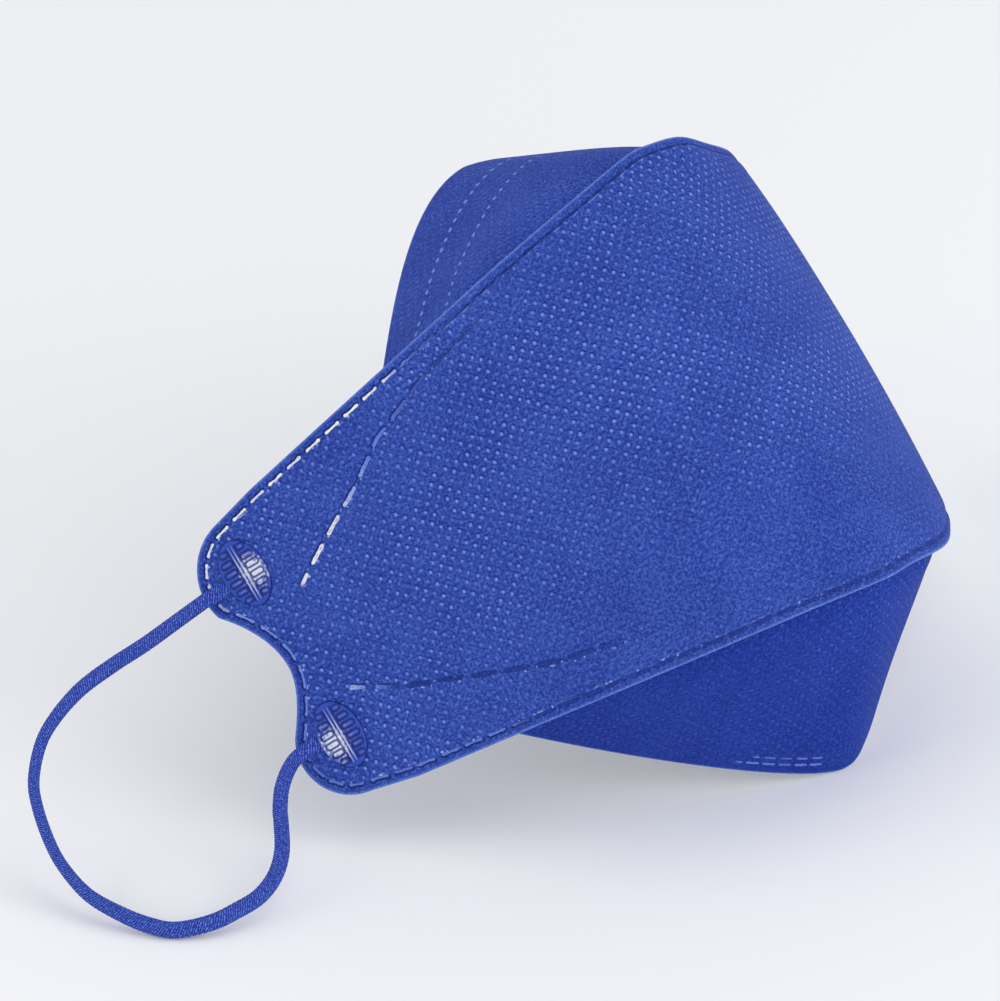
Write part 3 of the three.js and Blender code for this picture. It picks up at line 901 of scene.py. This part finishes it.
def vector(operation, a, b):
    """Vector arithmetic; b is a vector, or for SCALE a number."""
    slot = "Scale" if operation == "SCALE" else 1
    return Wire(node(a.tree, "ShaderNodeVectorMath", {0: a, slot: b}, operation=operation))


def split(place):
    made = node(place.tree, "ShaderNodeSeparateXYZ", {0: place})
    return [Wire(made, axis) for axis in range(3)]


def combine(x, y):
    return Wire(node(x.tree, "ShaderNodeCombineXYZ", {0: x, 1: y}))


def group(name, inputs, outputs):
    """A node group's output node and input wires. Flat is a place; the rest are numbers."""
    tree = bpy.data.node_groups.new(name, "ShaderNodeTree")
    for in_out, sockets in (("INPUT", inputs), ("OUTPUT", outputs)):
        for socket in sockets:
            kind = "NodeSocketVector" if socket == "Flat" else "NodeSocketFloat"
            tree.interface.new_socket(socket, in_out=in_out, socket_type=kind)
    source = tree.nodes.new("NodeGroupInput")
    return tree.nodes.new("NodeGroupOutput"), *(Wire(source, socket) for socket in inputs)


def hand_out(output, **wires):
    """Join a group's results to its output node, and give the finished group."""
    for name, wire in wires.items():
        plug(output.inputs[name], wire)
    return output.id_data


def use(group_tree, **inputs):
    """What a node group hands out for these inputs, by name."""
    made = node(tree_of(*inputs.values()), "ShaderNodeGroup", inputs, node_tree=group_tree)
    return {socket.name: Wire(made, socket.name) for socket in made.outputs}


def srgb(red, green, blue):
    """A screen colour, 0 to 255, as the linear colour that shaders use."""
    linear = [c / 12.92 if c <= 0.04045 else ((c + 0.055) / 1.055) ** 2.4
              for c in (red / 255, green / 255, blue / 255)]
    return (*linear, 1.0)


# %% [markdown]
# Spunbond cloth is held together by a lattice of tiny pressed dots. On the flat they stand
# in rows at 45 degrees, 2.2 mm apart along u and along v. In the group, the sum and the
# difference of u and v count the rows, so their fractions say where in its cell a point
# is, and an oval round the cell's middle is the dot. A ring round the dot, on its upper
# side, is handed out as Shade: it is painted shade, a dark crescent where the pit's wall
# faces away from the light. A little noise makes no two dots alike.

# %% Bond dots
DOT_WANDER = 0.45 * MM
WALL_RADIUS, WALL_REACH = 1.25, 0.75
# Which way the painted shade leans in a dot's cell, along u and v.
SHADE_LEAN_U, SHADE_LEAN_V = 0.6, 0.8


def bond_dots():
    output, flat, spacing, half_width, half_height = group(
        "bond dots", ("Flat", "Spacing", "Width", "Height"), ("Dot", "Shade", "Strength"))
    wander = vector("SUBTRACT", noise(flat, 420.0, 1.0, output="Color"), (0.5, 0.5, 0.5))
    u, v, _ = split(vector("ADD", flat, vector("SCALE", wander, DOT_WANDER)))
    total, apart = (u + v) / spacing, (u - v) / spacing
    in_total, in_apart = maths("FRACT", total) - 0.5, maths("FRACT", apart) - 0.5
    across = (in_total + in_apart) * (spacing * 0.5) / half_width
    up = (in_total - in_apart) * (spacing * 0.5) / half_height
    radius = hypotenuse(across, up)
    cell = combine(maths("FLOOR", total), maths("FLOOR", apart))
    own = ramp(chance("3D", Vector=cell), 0.0, 1.0, 0.3, 1.2)
    worn = ramp(noise(flat, 38.0), 0.35, 0.62, 0.5, 1.1)
    wall = fade(abs(radius - WALL_RADIUS), 0.0, WALL_REACH)
    # Painted shade: one side of the ring round each dot, a dark crescent where the pit's wall faces away
    # from the light.
    shaded_half = ramp(across * SHADE_LEAN_U + up * SHADE_LEAN_V, 0.2, 1.0)
    return hand_out(output, Dot=fade(radius, 0.35, 1.15), Shade=wall * shaded_half, Strength=own * worn)


BOND_DOTS = bond_dots()

# %% [markdown]
# Between the dots the cloth is a tangle of fine fibres. Three noises stretched in three
# directions stand for fibres that cross, and a broad, faint noise stands for the cloudy
# unevenness of how thickly they were laid. A very fine one gives the specks between them:
# dark specks of grain, and pale flecks that are painted glints of fibres.

# %% Fibres and clouds
FIBRE_TURNS = (0.35, 1.45, 2.5)
FIBRE_STRETCH = (0.22, 1.0, 1.0)


def fibre_tangle():
    output, flat, fineness = group("fibre tangle", ("Flat", "Fineness"), ("Fibre", "Cloud", "Speck"))
    streaks = []
    for turn in FIBRE_TURNS:
        turned = node(flat.tree, "ShaderNodeVectorRotate", {"Vector": flat, "Angle": turn},
                      rotation_type="Z_AXIS")
        streaks.append(noise(vector("MULTIPLY", Wire(turned), FIBRE_STRETCH), fineness, 2.0, 0.6))
    return hand_out(
        output, Fibre=ramp(streaks[0] + streaks[1] + streaks[2], 1.15, 1.85),
        Cloud=ramp(noise(flat, 55.0, 4.0, 0.6), 0.3, 0.7),
        Speck=ramp(noise(flat, 2000.0, 3.0, 0.75), 0.4, 0.62))


FIBRE_TANGLE = fibre_tangle()

# %% [markdown]
# A dash weld is a short bar of cloth fused to film, waisted in the middle. Its group takes
# the distance along the seam and away from it (+ is the side that is painted in shade), the
# bar's half length and half width, and how waisted it is. It gives the bar's mask, the core
# inside it, a ring round the bar that is painted shade on its + side and a painted glint of
# stray fibres on its other side. Where the welds run together the seam is a crease, painted
# as a dark thread of shade with a broken pale thread of painted highlight below it.

# %% Dashes and creases
RAGGED = 0.4 * MM
SHADE_RING_MIDDLE, SHADE_RING_REACH = 0.2 * MM, 0.3 * MM
THREAD_WANDER, PALE_BELOW = 0.8 * MM, 0.5 * MM


def seam_dashes():
    output, flat, along, away, pitch, half_length, half_width, waist = group(
        "seam dashes", ("Flat", "Along", "Away", "Pitch", "Length", "Width", "Waist"),
        ("Bar", "Core", "Moat", "Foot", "Chance"))
    step = along / pitch
    from_middle = abs(maths("FRACT", step) - 0.5) * pitch
    flare = maths("POWER", maths("MINIMUM", from_middle / half_length, 1.0), 2.0)
    width = half_width * (1.0 - waist * (1.0 - flare))
    past_end = maths("MAXIMUM", from_middle - half_length, 0.0)
    edge = hypotenuse(past_end, away) + (noise(flat, 1300.0) - 0.5) * RAGGED - width
    # A ring just outside the bar's edge, where the painted shade and the painted glint go.
    painted_light = fade(abs(edge - SHADE_RING_MIDDLE), 0.0, SHADE_RING_REACH)
    # The + side of the ring is painted shade, the other side a painted glint.
    shaded_flank = ramp(away, -0.1 * MM, 0.2 * MM)
    return hand_out(
        output, Bar=fade(edge, -0.08 * MM, 0.06 * MM), Core=fade(edge, -0.42 * MM, -0.18 * MM),
        Moat=painted_light * shaded_flank, Foot=painted_light * (1.0 - shaded_flank), Chance=chance("1D", W=maths("FLOOR", step)))


def seam_crease():
    output, along, away = group("seam crease", ("Along", "Away"), ("Dark", "Pale"))
    broken = noise(combine(along * 0.35, away), 1400.0)
    thread = abs(away + (broken - 0.5) * THREAD_WANDER)
    # Painted shade along the crease, and below it a broken pale thread of painted highlight.
    dark = fade(thread, 0.1 * MM, 0.45 * MM) * ramp(broken, 0.4, 0.55, 0.35, 1.0)
    pale = fade(abs(away + PALE_BELOW), 0.0, 0.3 * MM) * ramp(broken, 0.52, 0.64)
    return hand_out(output, Dark=dark, Pale=pale)


SEAM_CREASE = seam_crease()
SEAM_DASHES = seam_dashes()

# %% [markdown]
# ## Cloth
# The cloth is dull and soft: high roughness, hardly any sheen, and a colour that the clouds,
# fibres and dots vary. A dot is pressed in and painted paler, partly as its pressed film and
# partly as a painted highlight; none show on the flange outside the seam, where the press has
# flattened them. How pale a dash weld is painted is a painted reflection of its glossy film:
# near the ear it is painted white, towards the front it stays as dark as the cloth.

# %% Blue cloth
CLOTH_TONES = srgb(36, 66, 160), srgb(20, 45, 136), srgb(78, 109, 204)
CLOTH_BLUE, CLOTH_LIGHT = CLOTH_TONES[0], CLOTH_TONES[2]
# The nose and chin panels are the same cloth as the middle panel; their own darker tones are painted
# shade.
SHADED_FLAP_TONES = srgb(18, 50, 154), srgb(10, 34, 128), srgb(44, 82, 192)
SHADED_NOSE_TONES = srgb(33, 66, 170), SHADED_FLAP_TONES[1], CLOTH_LIGHT
# DOT_BLUE is the pale of dots, dash welds and crease threads: partly the film's own colour, partly painted
# highlight and reflection.
DOT_BLUE = srgb(112, 142, 232)
# Painted shade: the crescents by the dots, the + side of the dashes and the crease threads.
PAINTED_SHADE_BLUE = srgb(12, 28, 104)
# The colour of the painted glint beside the dashes.
GLINT_BLUE = srgb(176, 198, 250)
# White of the weld film where the die was hottest, also the painted reflection on the palest dash welds.
FILM_WHITE_AND_SHINE = srgb(250, 252, 255)
EDGE_BLUE = srgb(122, 152, 230)
SHEEN_BLUE = srgb(120, 150, 240)
DOT_SPACING, DOT_HALF_WIDTH, DOT_HALF_HEIGHT = 2.24 * MM, 0.34 * MM, 0.38 * MM
FINENESS = 1500.0
BASE_SHARE, FIBRE_SHARE, SPECK_SHARE, GLINT_FLECK_SHARE = 0.62, 0.45, 0.8, 0.35
FIBRE_HEIGHT, SPECK_DEPTH, FRAY = 0.08 * MM, 0.1 * MM, 0.35 * MM
DASH_DEPTH, CREASE_DEPTH = 0.18 * MM, 0.2 * MM


def material(name):
    made = bpy.data.materials.new(name)
    made.use_nodes = True
    tree = made.node_tree
    tree.nodes.clear()
    shader = tree.nodes.new("ShaderNodeBsdfPrincipled")
    output = tree.nodes.new("ShaderNodeOutputMaterial")
    tree.links.new(shader.outputs[0], output.inputs["Surface"])
    return made, tree, shader


def flat_place(tree):
    return Wire(node(tree, "ShaderNodeUVMap", uv_map="flat"), "UV")


def attribute(tree, name):
    return Wire(node(tree, "ShaderNodeAttribute", attribute_name=name), "Fac")


def dress(shader, inputs, height=None):
    """Give a shader its inputs, and the relief that a height in metres makes."""
    for name, value in inputs.items():
        plug(shader.inputs[name], value)
    if height:
        relief = node(shader.id_data, "ShaderNodeBump", {"Height": height, "Distance": 1.0})
        plug(shader.inputs["Normal"], Wire(relief))


def draw_dashes(seam, flat, colour, height, dark):
    """Lay one seam's dashes over the cloth's colour and height."""
    dashes = use(SEAM_DASHES, Flat=flat, **seam["shape"])
    shown, painted_light = seam["shown"], seam["painted_light"]
    # Painted shade along the + side of each dash.
    colour = mix(dashes["Moat"] * shown * painted_light, colour, PAINTED_SHADE_BLUE)
    # Painted reflection: the dash is painted paler, up to white, where its glossy film would reflect the
    # light.
    varied = (dashes["Chance"] * 0.3 + 0.75) * seam["pale"]
    pale = mix(ramp(varied, 0.0, 0.5), dark, DOT_BLUE)
    pale = mix(ramp(varied, 0.45, 0.9), pale, seam["film"])
    torn = dashes["Core"] * ramp(noise(flat, 1500.0), 0.42, 0.58, 0.0, seam["hollow"])
    bar = dashes["Bar"] * shown
    colour = mix(bar * (1.0 - torn), colour, pale)
    # Painted glint: pale specks along the other side of each dash.
    glint = ramp(noise(flat, 1100.0, 1.0), 0.6, 0.66) * dashes["Foot"] * shown
    return mix(glint * painted_light, colour, GLINT_BLUE), height + bar * -DASH_DEPTH


def draw_crease(seam, colour, height):
    """Lay a run-together seam over the cloth's colour and height, where it isn't dashed."""
    crease = use(SEAM_CREASE, Along=seam["shape"]["Along"], Away=seam["shape"]["Away"])
    dark, pale = crease["Dark"] * seam["creased"], crease["Pale"] * seam["creased"]
    # Painted shade in the crease, and a pale thread of painted highlight below it.
    colour = mix(dark * 0.9, colour, PAINTED_SHADE_BLUE)
    return mix(pale * 0.8, colour, DOT_BLUE), height + dark * -CREASE_DEPTH


def cloth_colour(fibres, inset, tones, edge, glint_fleck):
    """The colour of cloth without its dots and seams; edge says how pale its cut edge is."""
    base, dark, light = tones
    speck = fibres["Speck"]
    colour = mix(BASE_SHARE, mix(fibres["Cloud"], dark, light), base)
    colour = mix(fibres["Fibre"] * FIBRE_SHARE, colour, light)
    colour = mix(speck * SPECK_SHARE, colour, dark)
    # Pale flecks: painted glints of single fibres.
    colour = mix(fade(speck, 0.0, 0.2, glint_fleck), colour, light)
    return mix(fade(inset - speck * FRAY, -0.1 * MM, 0.25 * MM, edge), colour, EDGE_BLUE)


def cloth_material(name, tones, dots, dot_depth, seams=None, dot_share=0.0, edge=0.0):
    made, tree, shader = material(name)
    flat, inset = flat_place(tree), attribute(tree, "inset")
    bonds = use(BOND_DOTS, Flat=flat, Spacing=DOT_SPACING, Width=DOT_HALF_WIDTH, Height=DOT_HALF_HEIGHT)
    fibres = use(FIBRE_TANGLE, Flat=flat, Fineness=FINENESS)
    colour = cloth_colour(fibres, inset, tones, edge, GLINT_FLECK_SHARE if seams else 0.0)
    shown = bonds["Strength"] * attribute(tree, "bonded") * ramp(inset, 1.6 * MM, 2.6 * MM)
    # Painted shade: the dark crescent beside each dot.
    colour = mix(bonds["Shade"] * shown * (0.75 * dot_share), colour, PAINTED_SHADE_BLUE)
    dot = bonds["Dot"] * shown
    # The dot is painted paler: partly its pressed film, partly a painted highlight.
    colour = mix(dot * dot_share, colour, dots)
    height = dot * -dot_depth + fibres["Fibre"] * FIBRE_HEIGHT + fibres["Speck"] * -SPECK_DEPTH
    for seam in seams(tree, flat) if seams else ():
        if "creased" in seam:
            colour, height = draw_crease(seam, colour, height)
        colour, height = draw_dashes(seam, flat, colour, height, tones[1])
    dress(shader, {"Base Color": colour, "Roughness": dot * -0.3 + 0.85, "Sheen Weight": 0.06,
                   "Sheen Roughness": 0.5, "Sheen Tint": SHEEN_BLUE, "Specular IOR Level": 0.2}, height)
    return made


def middle_seams(tree, flat):
    """The outer seam round the outline and the inner seam that carries the flap's weld."""
    dashed, inner_at = attribute(tree, "dashed"), attribute(tree, "inner_at")
    outer = dict(Along=attribute(tree, "outline_at"), Away=SEAM_INSET - attribute(tree, "inset"),
                 Pitch=SEAM_PITCH, Length=1.25 * MM, Width=0.36 * MM, Waist=0.3)
    inner = dict(Along=inner_at, Away=attribute(tree, "inner_off"),
                 Pitch=INNER_PITCH, Length=1.6 * MM, Width=0.42 * MM, Waist=0.0)
    inner_creased = attribute(tree, "inner_creased") * ramp(inner_at, 10 * MM, 22 * MM)
    return [
        dict(shape=outer, pale=attribute(tree, "pale"), shown=dashed, hollow=0.3, painted_light=1.0,
             film=FILM_WHITE_AND_SHINE, creased=1.0 - dashed),
        dict(shape=inner, pale=attribute(tree, "inner_pale"), shown=attribute(tree, "inner_dashed"),
             hollow=0.7, painted_light=0.85, film=FILM_WHITE_AND_SHINE, creased=inner_creased),
    ]


# Rows of small welds on the flaps, in mm: how far in from the free edge, pitch, half length,
# half width, how pale they are painted (0 to 1, a painted reflection of the film), and how far
# from the middle the row starts and stops.
NOSE_ROWS = ((10.6, 2.3, 0.12, 0.40, 0.95, 0, 60), (18.2, 2.3, 0.12, 0.34, 0.7, 0, 40))
CHIN_ROWS = ((3.9, 3.0, 0.8, 0.24, 0.35, 6, 19), (2.4, 3.0, 0.9, 0.28, 0.4, 6, 22))


def flap_rows(tree, flat, rows):
    """The rows of small welds at fixed distances from a flap's free edge."""
    along, inset = abs(split(flat)[0]), attribute(tree, "inset")
    seams = []
    for reach, pitch, half_length, half_width, pale, start, stop in rows:
        shape = dict(Along=along, Away=reach * MM - inset, Pitch=pitch * MM,
                     Length=half_length * MM, Width=half_width * MM, Waist=0.0)
        shown = ramp(along, start * MM, (start + 1) * MM) * fade(along, stop * MM, (stop + 1) * MM)
        seams.append(dict(shape=shape, pale=pale, film=DOT_BLUE, shown=shown, hollow=0.0, painted_light=0.0))
    return seams


def nose_seams(tree, flat):
    return flap_rows(tree, flat, NOSE_ROWS)


def chin_seams(tree, flat):
    return flap_rows(tree, flat, CHIN_ROWS)


# %% [markdown]
# The lining is the same kind of cloth in white, and the rim is the edge that the cutting
# press leaves: the layers fused together, pale and a little fuzzy.

# %% Cloth on the panels
LINING_WHITE, LINING_SHADE = srgb(236, 237, 240), srgb(222, 225, 231)
LINING_TONES = LINING_WHITE, LINING_SHADE, LINING_WHITE
RIM_TONES = srgb(124, 152, 230), CLOTH_BLUE, srgb(176, 198, 246)

blue_cloth = cloth_material("blue cloth", CLOTH_TONES, DOT_BLUE, 0.16 * MM, middle_seams, 0.92, 0.6)
nose_cloth = cloth_material("nose cloth", SHADED_NOSE_TONES, CLOTH_LIGHT, 0.05 * MM, nose_seams, 0.3, 0.3)
chin_cloth = cloth_material("chin cloth", SHADED_FLAP_TONES, CLOTH_LIGHT, 0.03 * MM, chin_seams, 0.3, 0.5)
lining = cloth_material("lining", LINING_TONES, LINING_SHADE, 0.1 * MM)
cut_edge = cloth_material("cut edge", RIM_TONES, DOT_BLUE, 0.0)

for piece, cloth in ((panel_middle, blue_cloth), (panel_nose, nose_cloth), (panel_chin, chin_cloth)):
    for slot, finish in enumerate((cloth, lining, cut_edge)):
        piece.data.materials[slot] = finish

# %% [markdown]
# ## Fused film and elastic
# The weld's film is smoother than cloth, so it shines, and it has turned white where the die
# was hottest. The elastic's covering yarns cross the band as short slanted strokes, pale on
# a dark ground, ten of them round it; a fine noise bends and breaks them into fuzz.

# %% Film and elastic
FILM_GROOVE_SHADE, FILM_BLUE = srgb(12, 32, 110), srgb(38, 67, 163)
YARN_DARK, YARN_PALE = srgb(20, 44, 146), srgb(124, 158, 244)
STROKE_PITCH = 0.45 * MM
STROKES_ROUND = 10
STROKE_BEND = 1.6


def film_material():
    made, tree, shader = material("weld film")
    comb, fused = attribute(tree, "comb"), attribute(tree, "fused")
    crazed = noise(flat_place(tree), 1500.0, 3.0)
    patchy = fused * 0.92 + 0.08 + (crazed - 0.5) * 1.4
    white = ramp(patchy, 0.35, 0.95, 0.0, 0.62) * ramp(comb, 0.2, 0.5, 0.15, 1.0)
    ridge = ramp(comb, 0.7, 0.95) * ramp(fused, 0.0, 0.4, 0.12, 0.5)
    # The comb's grooves are painted darker: painted shade in the recesses.
    colour = mix(ramp(comb, 0.15, 0.5), FILM_GROOVE_SHADE, FILM_BLUE)
    colour = mix(maths("MAXIMUM", white, ridge), colour, FILM_WHITE_AND_SHINE)
    dress(shader, {"Base Color": colour, "Roughness": ramp(crazed, 0.3, 0.7, 0.35, 0.6),
                   "Specular IOR Level": 0.25}, crazed * (0.1 * MM))
    return made


def elastic_material():
    made, tree, shader = material("elastic")
    flat = flat_place(tree)
    along, around, _ = split(flat)
    fuzz = noise(flat, 2600.0)
    turn = along / STROKE_PITCH + around * (STROKES_ROUND / (math.pi * CORD_DIAMETER)) + fuzz * STROKE_BEND
    stroke = fade(abs(maths("FRACT", turn) - 0.5), 0.05, 0.3)
    lit = stroke * ramp(fuzz, 0.36, 0.6, 0.08, 1.0) * (attribute(tree, "rib") * 0.6 + 0.4)
    dress(shader, {"Base Color": mix(lit, YARN_DARK, YARN_PALE), "Roughness": 0.7,
                   "Specular IOR Level": 0.25}, stroke * (0.06 * MM) + fuzz * (0.1 * MM))
    return made


weld_film = film_material()
elastic = elastic_material()
for piece in welds.values():
    piece.data.materials.append(weld_film)
for piece in loops.values():
    piece.data.materials.append(elastic)

# %% [markdown]
# ## Joining the pieces to the frame
# Each piece rides on the model's one body and stands for its CAD node, whose solid is hidden. The sheets
# say what size they were cut to, and how much cloth they hold: half of a
# wall's whole surface is one face of the sheet.

# %% Ride and replace
PANEL_CUT, FLAP_CUT = (0.209, 0.084), (0.209, 0.047)


for piece, node_name, slot_name, cut_size in (
    (panel_middle, "middle_panel", "outer_cloth", PANEL_CUT),
    (panel_nose, "nose_panel", "flap_cloth", FLAP_CUT),
    (panel_chin, "chin_panel", "flap_cloth", FLAP_CUT),
):
    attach(piece, "root")
    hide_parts(node_name)
for side_name, piece in loops.items():
    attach(piece, "root")
    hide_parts(f"ear_loop_{side_name}")
for (level, side_name), piece in welds.items():
    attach(piece, "root")
    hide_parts(f"ear_weld_{level}_{side_name}")

# %% [markdown]
# ## Floor and light
# A plain pale floor and soft light, which shades the bumps of the cloth's dots a little; the
# dark crescent beside each dot is painted shade. The world gives nearly all the light, a little
# stronger near the horizon than overhead. Four large, weak area lamps shape it: a key from
# above, two low fills on the -x side, and one low in front, which lifts the front of the
# panels. A lamp's row is its place, aim, size and power.

# %% Floor and light
FLOOR_SIZE = 6.0

bpy.ops.object.select_all(action="DESELECT")
bpy.ops.mesh.primitive_plane_add(size=FLOOR_SIZE)
floor = bpy.context.object
floor.name = "floor"
paper, _, shader = material("paper")
dress(shader, {"Base Color": srgb(236, 237, 239), "Roughness": 0.9, "Specular IOR Level": 0.2})
floor.data.materials.append(paper)

HORIZON_LIGHT, ZENITH_LIGHT = 0.79, 0.73
SKY_TINT = (0.965, 0.975, 1.0, 1.0)
LAMPS = {
    "key": ((0.62, -0.35, 1.25), (0, 0, 0.04), 1.3, 4.5),
    "low fill": ((-0.95, 0.55, 0.42), (0, 0, 0.02), 0.8, 3.5),
    "front fill": ((-0.75, -0.95, 0.30), (0, 0, 0.0), 0.9, 2.5),
    "front light": ((0.35, -1.05, 0.45), (0, 0, 0.04), 0.8, 4.0),
}


def studio_sky():
    """Even light that fades a little from the horizon up."""
    world = bpy.data.worlds.new("studio")
    world.use_nodes = True
    tree = world.node_tree
    height = split(Wire(node(tree, "ShaderNodeTexCoord"), "Generated"))[2]
    strength = node(tree, "ShaderNodeMapRange", {
        "Value": height, "To Min": HORIZON_LIGHT, "To Max": ZENITH_LIGHT})
    background = tree.nodes["Background"]
    plug(background.inputs["Color"], SKY_TINT)
    plug(background.inputs["Strength"], Wire(strength, "Result"))
    return world


bpy.context.scene.world = studio_sky()


def area_lamp(name, place, aim, size, power):
    data = bpy.data.lights.new(name, "AREA")
    data.shape = "SQUARE"
    data.size = size
    data.energy = power
    lamp = bpy.data.objects.new(name, data)
    lamp.location = place
    lamp.rotation_mode = "QUATERNION"
    lamp.rotation_quaternion = (Vector(aim) - Vector(place)).to_track_quat("-Z", "Y")
    bpy.context.scene.collection.objects.link(lamp)
    return lamp


for lamp_name, recipe in LAMPS.items():
    area_lamp(lamp_name, *recipe)
